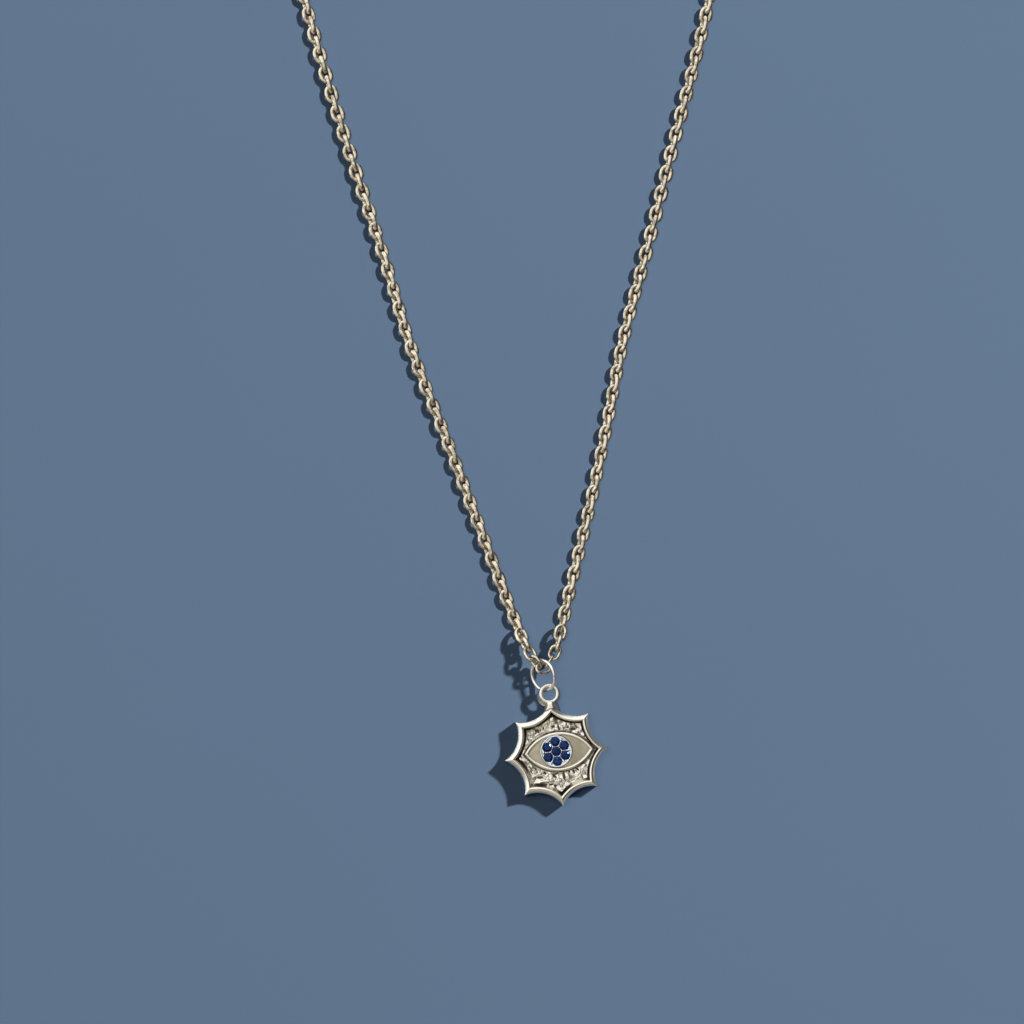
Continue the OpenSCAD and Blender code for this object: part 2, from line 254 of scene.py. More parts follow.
def blue_stone(name, colour, glow, seed):
    """Deep blue stone: near black across most facets, lighter blue where the colour zones run and
    as a painted glint on some crown facets.
    """
    finish = Finish(name)
    zones = finish.noise(0.5, 2, stretch=(1, 1, 0.6), offset=seed * 1.7)
    streak = finish.noise(0.12, 3, stretch=(1, 0.35, 1))
    # The painted glint that the mesh keeps for each crown facet
    facet = finish.node("ShaderNodeAttribute", {"attribute_name": "facet"}, output="Fac")
    tone = finish.mix(zones.between(0.4, 0.66) * 0.5 + facet, rgba(colour), rgba(glow))
    rough = 0.05 + 0.05 * streak.between(0.5, 0.8)
    return finish.surface(
        Base_Color=tone, Metallic=0.0, Roughness=rough, IOR=1.76,
        Specular_Tint=(0.3, 0.48, 1.0, 1.0), Specular_IOR_Level=0.25, Transmission_Weight=0.25,
    )


def studio_floor(name, colour):
    """Matt coloured card under the necklace."""
    finish = Finish(name)
    cloud = finish.noise(40, 2)
    tooth = finish.noise(0.35, 3)
    tone = finish.mix(cloud, rgba(colour, 0.985), rgba(colour, 1.015))
    rough = 0.8 + 0.1 * tooth
    return finish.surface(Base_Color=tone, Roughness=rough, Specular_IOR_Level=0.15)


# Meshes


def store(mesh, name, values, domain="POINT"):
    """Keeps a number for each point or face of a mesh."""
    layer = mesh.attributes.new(name, "FLOAT", domain)
    layer.data.foreach_set("value", np.array(values, np.float32))


def new_piece(name, mesh, materials, *nodes, slot):
    """Puts a finished mesh in the scene as a piece that stands for its CAD nodes."""
    piece = bpy.data.objects.new(name, mesh)
    bpy.context.scene.collection.objects.link(piece)
    for material in materials:
        mesh.materials.append(material)
    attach(piece, BODY)
    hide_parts(*nodes)


def ring_faces(rows, columns, flip=False):
    """Quads from each closed ring of columns points to the next, and a face over both ends."""
    faces = []
    for i in range(rows - 1):
        a, b = i * columns, (i + 1) * columns
        for j in range(columns):
            k = (j + 1) % columns
            faces.append((a + j, a + k, b + k, b + j))
    faces.append(tuple(reversed(range(columns))))
    faces.append(tuple(range((rows - 1) * columns, rows * columns)))
    return [face[::-1] for face in faces] if flip else faces


def lathe(profile, steps):
    """Points and faces of a profile of radius and height turned round Z, closed at both ends."""
    points = [
        (r * math.cos(math.tau * k / steps), r * math.sin(math.tau * k / steps), z)
        for r, z in profile for k in range(steps)
    ]
    return points, ring_faces(len(profile), steps)


def round_section(wire, sides):
    """Points round a wire's section, as distance outwards and height."""
    angles = [math.tau * k / sides for k in range(sides)]
    return [(wire / 2 * math.cos(a), wire / 2 * math.sin(a)) for a in angles]


def soft_box_section(width, height, soft, turns=4):
    """A rectangle with round corners, as distance outwards and height."""
    section = []
    for sx, sy, start in ((1, 1, 0), (-1, 1, 90), (-1, -1, 180), (1, -1, 270)):
        for k in range(turns + 1):
            a = math.radians(start + 90 * k / turns)
            section.append((
                sx * (width / 2 - soft) + soft * math.cos(a),
                sy * (height / 2 - soft) + soft * math.sin(a),
            ))
    return section


def swept_loop(centres, normals, section, scales=None):
    """Points and quads of a section swept round a closed flat loop."""
    points = []
    for i, (centre, normal) in enumerate(zip(centres, normals)):
        k = scales[i] if scales else 1.0
        for out, up in section:
            points.append(Vector((
                centre[0] + normal[0] * out * k, centre[1] + normal[1] * out * k, up * k,
            )))
    rows, columns = len(centres), len(section)
    quads = []
    for i in range(rows):
        a, b = i * columns, (i + 1) % rows * columns
        for j in range(columns):
            k = (j + 1) % columns
            quads.append((a + j, b + j, b + k, a + k))
    return points, quads


def circle_path(radius, steps):
    """The middle of a ring's wire, and the directions outwards from it."""
    angles = [math.tau * k / steps for k in range(steps)]
    normals = [(math.cos(a), math.sin(a)) for a in angles]
    return [(radius * x, radius * y) for x, y in normals], normals


def stadium_path(length, width, wire, steps):
    """The middle of a link's wire: half circles at both ends with straights between."""
    straight, radius = (length - width) / 2, (width - wire) / 2
    centres, normals = [], []
    for side in (1, -1):
        for k in range(steps):
            a = math.pi * (k / (steps - 1) - 0.5) + (0 if side > 0 else math.pi)
            normals.append((math.cos(a), math.sin(a)))
            centres.append((side * straight + radius * math.cos(a), radius * math.sin(a)))
    return centres, normals


def pose_matrix(pose):
    """The place of a ring or link, in millimetres."""
    x, y, z, heading, climb, roll = pose
    turn = Euler([math.radians(v) for v in (roll, -climb, heading)]).to_matrix().to_4x4()
    return Matrix.Translation((LOOP_AT[0] + x, LOOP_AT[1] + y, z)) @ turn


def clasp_matrix(along, height, upright=False):
    """A place on the clasp's own line, in millimetres."""
    turn = math.radians(CLASP_TURN)
    at = Matrix.Translation((LOOP_AT[0] + CLASP_AT[0], LOOP_AT[1] + CLASP_AT[1], 0))
    stand = Matrix.Rotation(math.radians(90) if upright else 0, 4, "X")
    return at @ Matrix.Rotation(turn, 4, "Z") @ Matrix.Translation((along, 0, height)) @ stand


def mesh_of(name, shells, degrees=60):
    """One mesh from shells, each its points in millimetres, its faces and its place.

    Edges that bend by more than degrees stay sharp.
    """
    points, faces = [], []
    for shell_points, shell_faces, place in shells:
        start = len(points)
        points += [place @ Vector(p) * MM for p in shell_points]
        faces += [[start + i for i in face] for face in shell_faces]
    mesh = bpy.data.meshes.new(name)
    mesh.from_pydata(points, [], faces)
    mesh.update()
    mesh.shade_smooth()
    mesh.set_sharp_from_angle(angle=math.radians(degrees))
    return mesh


# The star

# Finishes of the star's faces
RIM, CHISELLED, SATIN = 0, 1, 2


def star_edge(angles, inset, sizes, soft=0.3):
    """Distance of the star's edge, set in by inset, from its centre, with softened tips."""
    half = math.pi / 8
    sag = sizes.tip * math.cos(half) - sizes.valley
    chord = sizes.tip * math.sin(half)
    arc = (chord**2 + sag**2) / (2 * sag)
    far = sizes.valley + arc
    turn = np.mod(angles, 2 * half) - half
    from_tip = half - np.abs(turn)
    turn = half - np.sqrt(from_tip**2 + math.radians(soft) ** 2)
    return far * np.cos(turn) - np.sqrt((arc + inset) ** 2 - (far * np.sin(turn)) ** 2)


def star_angles(per_point):
    """Angles of the mesh's columns, closer together at the star's tips."""
    half = math.pi / 8
    t = np.arange(per_point) / per_point * 2 - 1
    spread = half * (0.55 * t + 0.45 * np.sin(math.pi / 2 * t))
    return np.concatenate([half * 4 + half + spread + k * 2 * half for k in range(8)])


# The rim's profile from the flat back to the field: distance in from the edge, and height
RIM_PROFILE = [
    (0.16, 0.0), (0.06, 0.025), (0.0, 0.1), (0.0, 0.7), (0.0, 1.36), (0.006, 1.41),
    (0.025, 1.45), (0.06, 1.488), (0.11, 1.54), (0.16, 1.59), (0.21, 1.64), (0.26, 1.687),
    (0.31, 1.729), (0.36, 1.765), (0.41, 1.79), (0.455, 1.8), (0.5, 1.8), (0.545, 1.79),
    (0.585, 1.767), (0.62, 1.73), (0.65, 1.67), (0.68, 1.58), (0.715, 1.43), (0.76, 1.25),
    (0.81, 1.1), (0.86, 1.03),
]
# From this far in, the profile is the inner wall: its width, how much wider it is on one side,
# and that side's direction in degrees
RIM_TURN = 0.55
WALL_WIDTH, WALL_EXTRA, WALL_SIDE = 0.9, 0.4, 190
# The wall's painted shade starts this far in. Its foot lies this much under the field.
WALL_TOP = 0.6
WALL_FOOT = 0.1
# How dark the painted shade is along the inner wall: direction in degrees and amount
WALL_PAINTED_SHADE = [(0, 0.9), (28, 0.9), (54, 1), (74, 0.9), (100, 0.8), (123, 0.65), (140, 1),
               (165, 0.9), (191, 1), (205, 0.55), (220, 0.4), (229, 0.7), (234, 1), (242, 0.6),
               (252, 0.35), (266, 0.7), (280, 1), (292, 0.4), (305, 0.3), (318, 0.9), (342, 1)]
# Rings of the mesh across the flat back as shares of its width, across the field, on the lids
# as distances outside their crest line, and across the eye's white
BACK_RINGS = (0.03, 0.35, 0.7, 0.93)
FIELD_RINGS = 42
LID_STEPS = [0.36, 0.33, 0.3, 0.27, 0.24, 0.21, 0.18, 0.155, 0.13, 0.105, 0.08, 0.05, 0.02, -0.02,
             -0.05, -0.08, -0.105, -0.13, -0.16, -0.19, -0.22]
WHITE_RINGS = 14
# Rings over which the field comes up from the wall's foot
WALL_FOOT_RINGS = 3
# Least distance from one lid ring to the next where the lids meet the setting
LID_GAP = 0.012

# The lids' soft crest: its half width, how it falls away, and the width of the lids' steep sides
LID_CREST = 0.14
LID_FALL = 1.6
LID_SIDE = 0.09
# How the steep sides curve outside and inside, and how far they go under the eye's white
LID_CURVE = (1.3, 1.2)
LID_SINK = 0.03
# How far from the crest line the sides end, and the width over which they turn into the white
LID_FOOT = 0.2
LID_BLEND = 0.12
# The groove outside the lids: where it ends, its depth under the field and how dark its painted
# shade is
MOAT_END = 0.26
MOAT_DEPTH = 0.06
MOAT_PAINTED_SHADE = 0.62
# Outside this distance from the crest line the lids have the chiselled finish
LID_FINISH = 0.16
# How much the eye's white rises towards the setting, and over what distance
WHITE_RISE = 0.07
WHITE_SPREAD = 0.8

# Marks that stand out on the chiselled field: x, y, length, width, turn, height
FIELD_MARKS = [
    (-0.04, 3.74, 0.85, 0.75, 90, 0.3), (-0.04, 2.98, 0.45, 0.5, 0, -0.3),
    (-1.94, 2.6, 0.4, 0.16, 80, -0.24), (-1.71, 2.78, 0.42, 0.15, 80, -0.24),
    (-1.4, 2.78, 0.42, 0.16, 75, -0.26), (-1.09, 2.92, 0.4, 0.17, 80, -0.24),
    (-2.35, 2.42, 0.5, 0.35, 60, 0.16), (0.95, 2.85, 0.55, 0.4, 60, 0.16),
    (1.35, 2.95, 0.4, 0.3, 20, 0.12), (0.58, 2.75, 0.62, 0.17, 100, -0.28),
    (1.59, 2.75, 0.3, 0.2, 0, -0.2), (2.06, 2.48, 0.6, 0.26, 0, -0.26),
    (2.45, 1.95, 0.6, 0.26, 55, 0.14), (2.76, 1.74, 0.5, 0.12, 50, -0.2),
    (2.95, 2.3, 0.5, 0.3, 70, 0.14), (-2.75, 1.95, 0.6, 0.3, 125, 0.12),
    (-2.5, 1.74, 0.5, 0.13, 140, -0.2), (-3.75, 0.34, 0.5, 0.4, 10, 0.2),
    (-4.2, 0.1, 0.4, 0.15, 90, -0.2), (-2.85, -1.05, 0.6, 0.4, 120, 0.16),
    (-2.55, -1.65, 0.4, 0.3, 40, 0.14), (-1.5, -1.9, 0.35, 0.25, 90, -0.26),
    (-1.98, -2.3, 0.9, 0.28, 0, -0.3), (-1.36, -2.76, 1.6, 0.4, 2, 0.2),
    (-1.9, -3.15, 1.1, 0.26, -5, -0.3), (-0.95, -3.2, 0.5, 0.22, 10, -0.2),
    (-0.45, -2.45, 0.6, 0.25, -50, -0.2), (-0.58, -3.4, 0.3, 0.25, 0, -0.24),
    (0.23, -3.5, 0.3, 0.25, 0, -0.24), (0.02, -2.85, 0.4, 0.35, 90, 0.14),
    (0.5, -2.5, 1.15, 0.26, 92, -0.32), (1.02, -2.7, 0.9, 0.34, 108, 0.18),
    (1.13, -2.07, 0.3, 0.16, 100, -0.22), (1.6, -2.1, 0.45, 0.22, 110, -0.26),
    (2.06, -1.9, 0.4, 0.18, 120, -0.24), (2.37, -1.37, 0.6, 0.4, 60, 0.2),
    (2.8, -1.2, 0.5, 0.14, 65, -0.24), (0.12, -4.1, 0.55, 0.5, 90, 0.3),
]


# The graver's cuts: radii of their rows, and distances from row to row and along a row
CUT_REACH = (2.0, 4.9)
CUT_ROW = 0.52
CUT_WIDTH = 0.56
# How much less a distance counts along a ray than across it, which makes the cuts longer
CUT_STRETCH = 0.72
# How soft the edges between cuts are, and the width and depth of the creases there
CUT_SOFT = 0.03
CREASE_WIDTH = 0.06
CREASE_DEPTH = 0.2
# Mean height of the field over its floor, and how far cuts go below and above it
CUT_LIFT = 0.08
CUT_LIMITS = (-0.26, 0.36)
# A raised mark flattens the cuts under it by a share and fades near its edge. A hollow one
# reaches past its edge.
MARK_FLATTENS = 0.4
MARK_EDGE = 0.95
HOLLOW_EDGE = 1.25
# Painted shade fills the hollows over this depth, and starts at a share of it
PAINTED_SHADE_DEPTH = 0.15
PAINTED_SHADE_START = 0.3


def field_cells(seed):
    """The middles, heights, slopes and creases of the graver's cuts, in rows round the eye."""
    rng = np.random.default_rng(seed)
    cells = []
    for row, radius in enumerate(np.arange(*CUT_REACH, CUT_ROW)):
        count = int(round(math.tau * radius / CUT_WIDTH))
        for k in range(count):
            angle = math.tau * (k + 0.5 * (row % 2) + rng.uniform(-0.3, 0.3)) / count
            r = radius + rng.uniform(-0.15, 0.15)
            cells.append((
                r * math.cos(angle), r * math.sin(angle), rng.uniform(-0.09, 0.11),
                rng.uniform(-0.16, 0.24), rng.uniform(-0.24, 0.3), rng.uniform(0, 1) ** 1.5,
            ))
    return np.array(cells)


def field_height(x, y, sizes, seed):
    """Height of the chiselled field, and the painted shade in its hollows, from 0 to 1."""
    cells = field_cells(seed)
    dx = x[..., None] - cells[:, 0]
    dy = y[..., None] - cells[:, 1]
    radial = np.hypot(cells[:, 0], cells[:, 1])
    ux, uy = cells[:, 0] / radial, cells[:, 1] / radial
    along, across = dx * ux + dy * uy, dy * ux - dx * uy
    gap = (CUT_STRETCH * along) ** 2 + across**2
    weight = np.exp(-(gap - gap.min(axis=-1, keepdims=True)) / CUT_SOFT)
    weight /= weight.sum(axis=-1, keepdims=True)
    plane = cells[:, 2] + cells[:, 3] * dx + cells[:, 4] * dy
    height = (weight * plane).sum(axis=-1)
    nearest = np.sort(np.sqrt(gap), axis=-1)
    crease = np.exp(-(((nearest[..., 1] - nearest[..., 0]) / CREASE_WIDTH) ** 2))
    depth = (weight * cells[:, 5]).sum(axis=-1)
    height -= CREASE_DEPTH * crease * depth
    for mx, my, length, width, turn, rise in FIELD_MARKS:
        c, s = math.cos(math.radians(turn)), math.sin(math.radians(turn))
        u = ((x - mx) * c + (y - my) * s) / (length / 2)
        v = ((y - my) * c - (x - mx) * s) / (width / 2)
        far = np.sqrt(u**2 + v**2)
        if rise > 0:
            height += (rise - MARK_FLATTENS * height) * np.exp(-((far / MARK_EDGE) ** 3))
        else:
            height += rise * np.clip(HOLLOW_EDGE - far, 0, 1)
    # Painted shade in the field's hollows, darker where they are deeper
    hollow = np.clip(-PAINTED_SHADE_START - height / PAINTED_SHADE_DEPTH, 0, 1)
    return sizes.field + CUT_LIFT + np.clip(height, *CUT_LIMITS), hollow


def lid_offset(x, y, eye):
    """How far a point lies outside the lids' crest line, less than 0 inside the eye."""
    c, s = math.cos(-eye.turn), math.sin(-eye.turn)
    px, py = x - eye.x, y - eye.y
    u, v = px * c - py * s, px * s + py * c
    return np.maximum(np.hypot(u, v + eye.far), np.hypot(u, v - eye.far)) - eye.arc


def face_height(x, y, sizes, eye, seed):
    """Height and painted shade of everything inside the rim."""
    s = lid_offset(x, y, eye)
    field, hollow = field_height(x, y, sizes, seed)
    moat = np.clip((s - MOAT_END) / LID_SIDE, 0, 1)
    moat = moat * moat * (3 - 2 * moat)
    outer = sizes.field - MOAT_DEPTH + (field - sizes.field + MOAT_DEPTH) * moat
    # Painted shade in the groove outside the lids
    hollow = np.maximum(hollow, MOAT_PAINTED_SHADE * (1 - moat))
    crest = eye.lid - LID_FALL * np.minimum(np.abs(s), LID_CREST) ** 2
    drop = np.clip((np.abs(s) - LID_CREST) / LID_SIDE, 0, 1)
    ridge = crest - (eye.lid - sizes.field + MOAT_DEPTH) * drop ** LID_CURVE[0]
    r = np.hypot(x - IRIS_AT[0], y - IRIS_AT[1])
    white = eye.white + WHITE_RISE * np.exp(-(((r - CUP_HOLE_R) / WHITE_SPREAD) ** 2))
    inner_ridge = crest - (eye.lid - eye.white + LID_SINK) * drop ** LID_CURVE[1]
    inside = np.where(s > -0.3, np.maximum(white - LID_SINK, inner_ridge), white)
    blend = np.clip((-s - LID_FOOT) / LID_BLEND, 0, 1)
    inside = inside * (1 - blend) + white * blend
    height = np.where(s > 0, np.maximum(ridge, np.where(s > LID_FOOT, outer, ridge)), inside)
    return height, np.where(s > LID_CREST + 0.03, hollow, 0)


def lid_reach(angles, offset, eye):
    """Distance from the iris to the lids' line moved outwards by offset, along each angle."""
    c, s = math.cos(-eye.turn), math.sin(-eye.turn)
    px, py = IRIS_AT[0] - eye.x, IRIS_AT[1] - eye.y
    ox, oy = px * c - py * s, px * s + py * c
    turned = angles - eye.turn
    dx, dy = np.cos(turned), np.sin(turned)
    reach = []
    for side in (1, -1):
        b = ox * dx + (oy + side * eye.far) * dy
        k = ox**2 + (oy + side * eye.far) ** 2 - (eye.arc + offset) ** 2
        reach.append(-b + np.sqrt(b * b - k))
    return np.minimum(*reach)


def corner_angles(offset, eye):
    """Directions from the iris to the corners of the lids' moved line."""
    half = math.sqrt((eye.arc + offset) ** 2 - eye.far**2)
    c, s = math.cos(eye.turn), math.sin(eye.turn)
    places = [(eye.x + side * half * c, eye.y + side * half * s) for side in (1, -1)]
    return [math.atan2(y - IRIS_AT[1], x - IRIS_AT[0]) for x, y in places]


class Numbers:
    """Named numbers, in millimetres and radians."""

    def __init__(self, **values):
        self.__dict__.update(values)


def star_numbers(scene):
    star, eye = scene.pendant_star, scene.pendant_eye
    arc = (eye.width**2 + eye.height**2) / (4 * eye.height) / MM
    sizes = Numbers(tip=star.tip / MM, valley=star.valley / MM, field=star.field / MM)
    lids = Numbers(
        arc=arc, far=arc - eye.height / 2 / MM, x=eye.right / MM, y=eye.up / MM, turn=eye.turn,
        lid=eye.lid_height / MM, white=eye.white_height / MM,
    )
    return sizes, lids


def star_shell(sizes, eye, seed, per_point=72):
    """The cast star: its points, faces, each face's finish and each point's painted shade."""
    angles = star_angles(per_point)
    columns = len(angles)
    rings, hollows, kinds = [], [], []

    def add(x, y, z, hollow, kind):
        rings.append(np.stack([x, y, np.broadcast_to(z, x.shape)], axis=1))
        hollows.append(np.broadcast_to(hollow, x.shape))
        kinds.append(kind)

    for share in BACK_RINGS:
        r = star_edge(angles, RIM_PROFILE[0][0], sizes) * share
        add(r * np.cos(angles), r * np.sin(angles), 0.0, 0, RIM)
    away = np.clip(np.cos(angles - math.radians(WALL_SIDE)), 0, 1)
    spread = WALL_WIDTH + WALL_EXTRA * away
    # Painted shade along the inner wall, as dark as the table gives for each direction
    painted_shade = np.interp(np.degrees(angles), *np.array(WALL_PAINTED_SHADE).T, period=360)
    for inset, z in RIM_PROFILE:
        wide = min(inset, RIM_TURN) + max(0, inset - RIM_TURN) * spread
        r = star_edge(angles, wide, sizes)
        # The inner wall takes its painted shade, fading in over 0.06 mm from where it starts
        foot = np.clip((inset - WALL_TOP) / 0.06, 0, 1) * painted_shade
        kind = CHISELLED if inset > WALL_TOP else RIM
        add(r * np.cos(angles), r * np.sin(angles), z, foot, kind)
    foot_x, foot_y = rings[-1][:, 0], rings[-1][:, 1]
    rays = np.arctan2(foot_y - IRIS_AT[1], foot_x - IRIS_AT[0])

    def lid_ring(step, offset):
        turned = rays.copy()
        for corner in corner_angles(offset, eye):
            near = np.argmin(np.abs(np.angle(np.exp(1j * (turned - corner)))))
            turned[near] = corner
        least = CUP_HOLE_R + LID_GAP * (len(LID_STEPS) - 1 - step)
        reach = np.maximum(lid_reach(turned, offset, eye), least)
        return IRIS_AT[0] + reach * np.cos(turned), IRIS_AT[1] + reach * np.sin(turned)

    edge_x, edge_y = lid_ring(0, LID_STEPS[0])
    for k in range(1, FIELD_RINGS):
        t = k / FIELD_RINGS
        x, y = foot_x + (edge_x - foot_x) * t, foot_y + (edge_y - foot_y) * t
        z, hollow = face_height(x, y, sizes, eye, seed)
        near_rim = max(0.0, 1 - k / WALL_FOOT_RINGS)
        z = z * (1 - near_rim) + (sizes.field - WALL_FOOT) * near_rim
        # Next to the wall's foot the field takes the wall's painted shade
        add(x, y, z, np.maximum(hollow, near_rim * painted_shade), CHISELLED)
    for step, offset in enumerate(LID_STEPS):
        x, y = lid_ring(step, offset)
        z, hollow = face_height(x, y, sizes, eye, seed)
        add(x, y, z, hollow, CHISELLED if offset > LID_FINISH else RIM)
    lid_x, lid_y = rings[-1][:, 0], rings[-1][:, 1]
    turned = np.arctan2(lid_y - IRIS_AT[1], lid_x - IRIS_AT[0])
    hole_x = IRIS_AT[0] + CUP_HOLE_R * np.cos(turned)
    hole_y = IRIS_AT[1] + CUP_HOLE_R * np.sin(turned)
    for k in range(1, WHITE_RINGS + 1):
        t = k / WHITE_RINGS
        x, y = lid_x + (hole_x - lid_x) * t, lid_y + (hole_y - lid_y) * t
        z, _ = face_height(x, y, sizes, eye, seed)
        add(x, y, z, 0, SATIN)
    # Painted shade fills the hole under the setting
    for share in (1, 0.5, 0.04):
        x = IRIS_AT[0] + (hole_x - IRIS_AT[0]) * share
        y = IRIS_AT[1] + (hole_y - IRIS_AT[1]) * share
        add(x, y, CUP_HOLE_Z, 1, CHISELLED)

    kind = [kind for kind in kinds[1:] for _ in range(columns)] + [RIM, CHISELLED]
    faces = ring_faces(len(rings), columns)
    return np.concatenate(rings), faces, kind, np.concatenate(hollows)


# Sections of the neck: y, left and right edge of its top, of its foot, heights of foot and top
NECK = [
    (4.45, -0.5, 0.4, -0.95, 1.08, 1.12, 1.3), (4.6, -0.5, 0.42, -0.88, 1.04, 1.14, 1.34),
    (4.72, -0.52, 0.44, -0.82, 1.01, 1.16, 1.6), (4.8, -0.54, 0.46, -0.8, 0.99, 1.18, 1.72),
    (4.9, -0.5, 0.46, -0.76, 0.97, 1.2, 1.78), (5.1, -0.4, 0.39, -0.68, 0.94, 1.22, 1.8),
    (5.33, -0.32, 0.31, -0.58, 0.9, 1.22, 1.79), (5.58, -0.27, 0.28, -0.5, 0.84, 1.2, 1.76),
    (5.72, -0.26, 0.28, -0.44, 0.72, 1.18, 1.72), (5.82, -0.26, 0.28, -0.38, 0.6, 1.16, 1.66),
]


def neck_side(top, foot, low, high):
    """One side of the neck's section, from its foot up to near the middle of its crowned top."""
    out = math.copysign(0.07, top)
    return [(foot, low), (foot, low + 0.1), (top + out, high - 0.14), (top, high - 0.05),
            (0.72 * top, high - 0.012), (0.35 * top, high)]


def neck_shell():
    """The neck that joins the star's top tip to the hanging loop, with drafted sides."""
    points = []
    for y, left, right, foot_left, foot_right, low, high in NECK:
        section = neck_side(right, foot_right, low, high)
        section += neck_side(left, foot_left, low, high)[::-1]
        points += [(x, y, z) for x, z in section]
    return points, ring_faces(len(NECK), len(section), flip=True)


# The hanging loop: its wall, its depth and the soft edge of its section
LOOP_WALL = 0.38
LOOP_DEPTH = 0.5
LOOP_SOFT = 0.13
# Its outside flares downwards from a height, by so much for each millimetre of depth, up to
# a limit that is wider towards the directions given here, in degrees
FLARE_FROM = 0.06
FLARE_SLOPE = 1.5
FLARE_LEAST = 0.03
FLARE_SIDES = [(230, 0.29), (-25, 0.15)]
# How far the loop's top leans for each millimetre of height, and how dark the painted shade on its
# outside is
LOOP_LEAN = (0.22, 0.16)
SIDE_WALL_PAINTED_SHADE = 0.54
# Edges shorter than this, in metres, close up where the lids' line meets the setting's hole
SLIVER = 1e-7


def loop_shell(radius):
    """The hanging loop: a wall with soft edges, whose outside flares downwards."""
    centres, normals = circle_path(radius, steps=96)
    section = soft_box_section(LOOP_WALL, LOOP_DEPTH, LOOP_SOFT)
    points, faces = swept_loop(centres, normals, section)
    for point in points:
        far = math.hypot(point.x, point.y)
        if far > radius:
            way = math.atan2(point.y, point.x)
            widest = FLARE_LEAST
            for side, extra in FLARE_SIDES:
                widest += extra * max(0, math.cos(way - math.radians(side)))
            flare = FLARE_SLOPE * max(0, FLARE_FROM - point.z)
            point.xy *= 1 + min(flare, widest) / far
    return points, faces


def loop_and_neck(radius):
    """The hanging loop and its neck as one mesh, with painted shade on the loop's outer walls and
    the neck's sides.
    """
    lean = Matrix.Identity(4)
    lean[0][2], lean[1][2] = LOOP_LEAN
    mesh = mesh_of("loop and neck", [
        (*loop_shell(radius), Matrix.Translation(LOOP_AT) @ lean),
        (*neck_shell(), Matrix.Identity(4)),
    ])
    # Painted shade for the loop's outer walls and the neck's sides, which take the chiselled finish
    store(mesh, "hollow", [SIDE_WALL_PAINTED_SHADE] * len(mesh.vertices))
    for face in mesh.polygons:
        far = (face.center / MM - Vector(LOOP_AT)).xy.length
        if far > radius + LOOP_WALL / 3 and abs(face.normal.z) < 0.93:
            face.material_index = CHISELLED
    return mesh


def build_star(scene):
    sizes, eye = star_numbers(scene)
    star, colours = scene.pendant_star, scene.pendant_colours
    points, faces, kind, hollow = star_shell(sizes, eye, star.seed)
    mesh = mesh_of("star", [(points, faces, Matrix.Identity(4))], degrees=75)
    mesh.polygons.foreach_set("material_index", kind)
    store(mesh, "hollow", hollow)
    extra = loop_and_neck(star.loop / MM)
    joined = bmesh.new()
    joined.from_mesh(mesh)
    joined.from_mesh(extra)
    bmesh.ops.dissolve_degenerate(joined, dist=SLIVER, edges=joined.edges)
    joined.to_mesh(mesh)
    joined.free()
    bpy.data.meshes.remove(extra)
    materials = [
        polished_gold("cast gold rim", colours.gold, roughness=0.12, wave=0.012),
        chiselled_gold("chiselled gold", colours.gold, colours.painted_shade),
        satin_gold("satin eye", colours.satin),
    ]
    new_piece("star_pendant", mesh, materials, "pendant_body", slot="cast_gold")


# The iris


# The setting, measured from the middle of the iris: its plate, foot and edge
PLATE_Z = 1.75
PLATE_EDGE_R = 1.57
SETTING_FOOT_Z = 1.15
# The stones: their radius, the ring they lie on, the height of their girdles and the bright one
STONE_R = 0.51
STONE_RING_R = 1.07
GIRDLE_Z = PLATE_Z + 0.03
BRIGHT_STONE = 4
# The seats: radius, width of their bevelled edge and depth there
SEAT_R = 0.516
SEAT_BEVEL = 0.03
SEAT_DEPTH = 0.04
# Rings of six beads: radius of the ring and of a bead. How high a bead stands for its radius,
# and how far its foot is sunk
BEADS = [(STONE_RING_R / math.sqrt(3), 0.105), (1.385, 0.15)]
BEAD_RISE = 0.85
BEAD_SINK = 0.02
# The rim's profile outside the plate: radius and height
SETTING_RIM = [
    (1.574, 1.78), (1.578, 1.85), (1.59, 1.88), (1.61, 1.896), (1.64, 1.905), (1.675, 1.9),
    (1.705, 1.885), (1.724, 1.862), (1.734, 1.82), (1.738, 1.7), (1.738, 1.2), (1.7, 1.15),
]
# Radii of the mesh's rings across the setting's flat foot
SETTING_FOOT = (1.2, 0.6, 0.05)
# Shares of a stone's lighter blue painted on as a glint, one of which each crown facet gets. The
# crown's facets face up by more than this.
PAINTED_GLINT_SHARES = [0, 0, 0, 0.5, 1.0]
CROWN_UP = 0.3


def sixth(k):
    """The kth of six directions round the iris, from straight up."""
    return math.radians(90 + 60 * k)


def stone_middles():
    """The middles of the seven stones, the middle one first."""
    return [(0.0, 0.0)] + [
        (STONE_RING_R * math.cos(sixth(k)), STONE_RING_R * math.sin(sixth(k))) for k in range(6)
    ]


def setting_height(x, y):
    """Height of the plate, with a seat under each stone and beads where stones meet."""
    middles = np.array(stone_middles())
    far = np.hypot(x[:, None] - middles[:, 0], y[:, None] - middles[:, 1]).min(axis=1)
    seat = np.clip((SEAT_R - far) / SEAT_BEVEL, 0, 1)
    height = PLATE_Z - seat * (SEAT_DEPTH + np.maximum(SEAT_R - far, 0))
    for ring, radius in BEADS:
        for k in range(6):
            a = math.radians(60 * k)
            d = np.hypot(x - ring * math.cos(a), y - ring * math.sin(a))
            dome = np.sqrt(np.maximum(radius**2 - d**2, 0))
            dome = PLATE_Z - BEAD_SINK + BEAD_RISE * dome
            height = np.where(d < radius, np.maximum(height, dome), height)
    return height


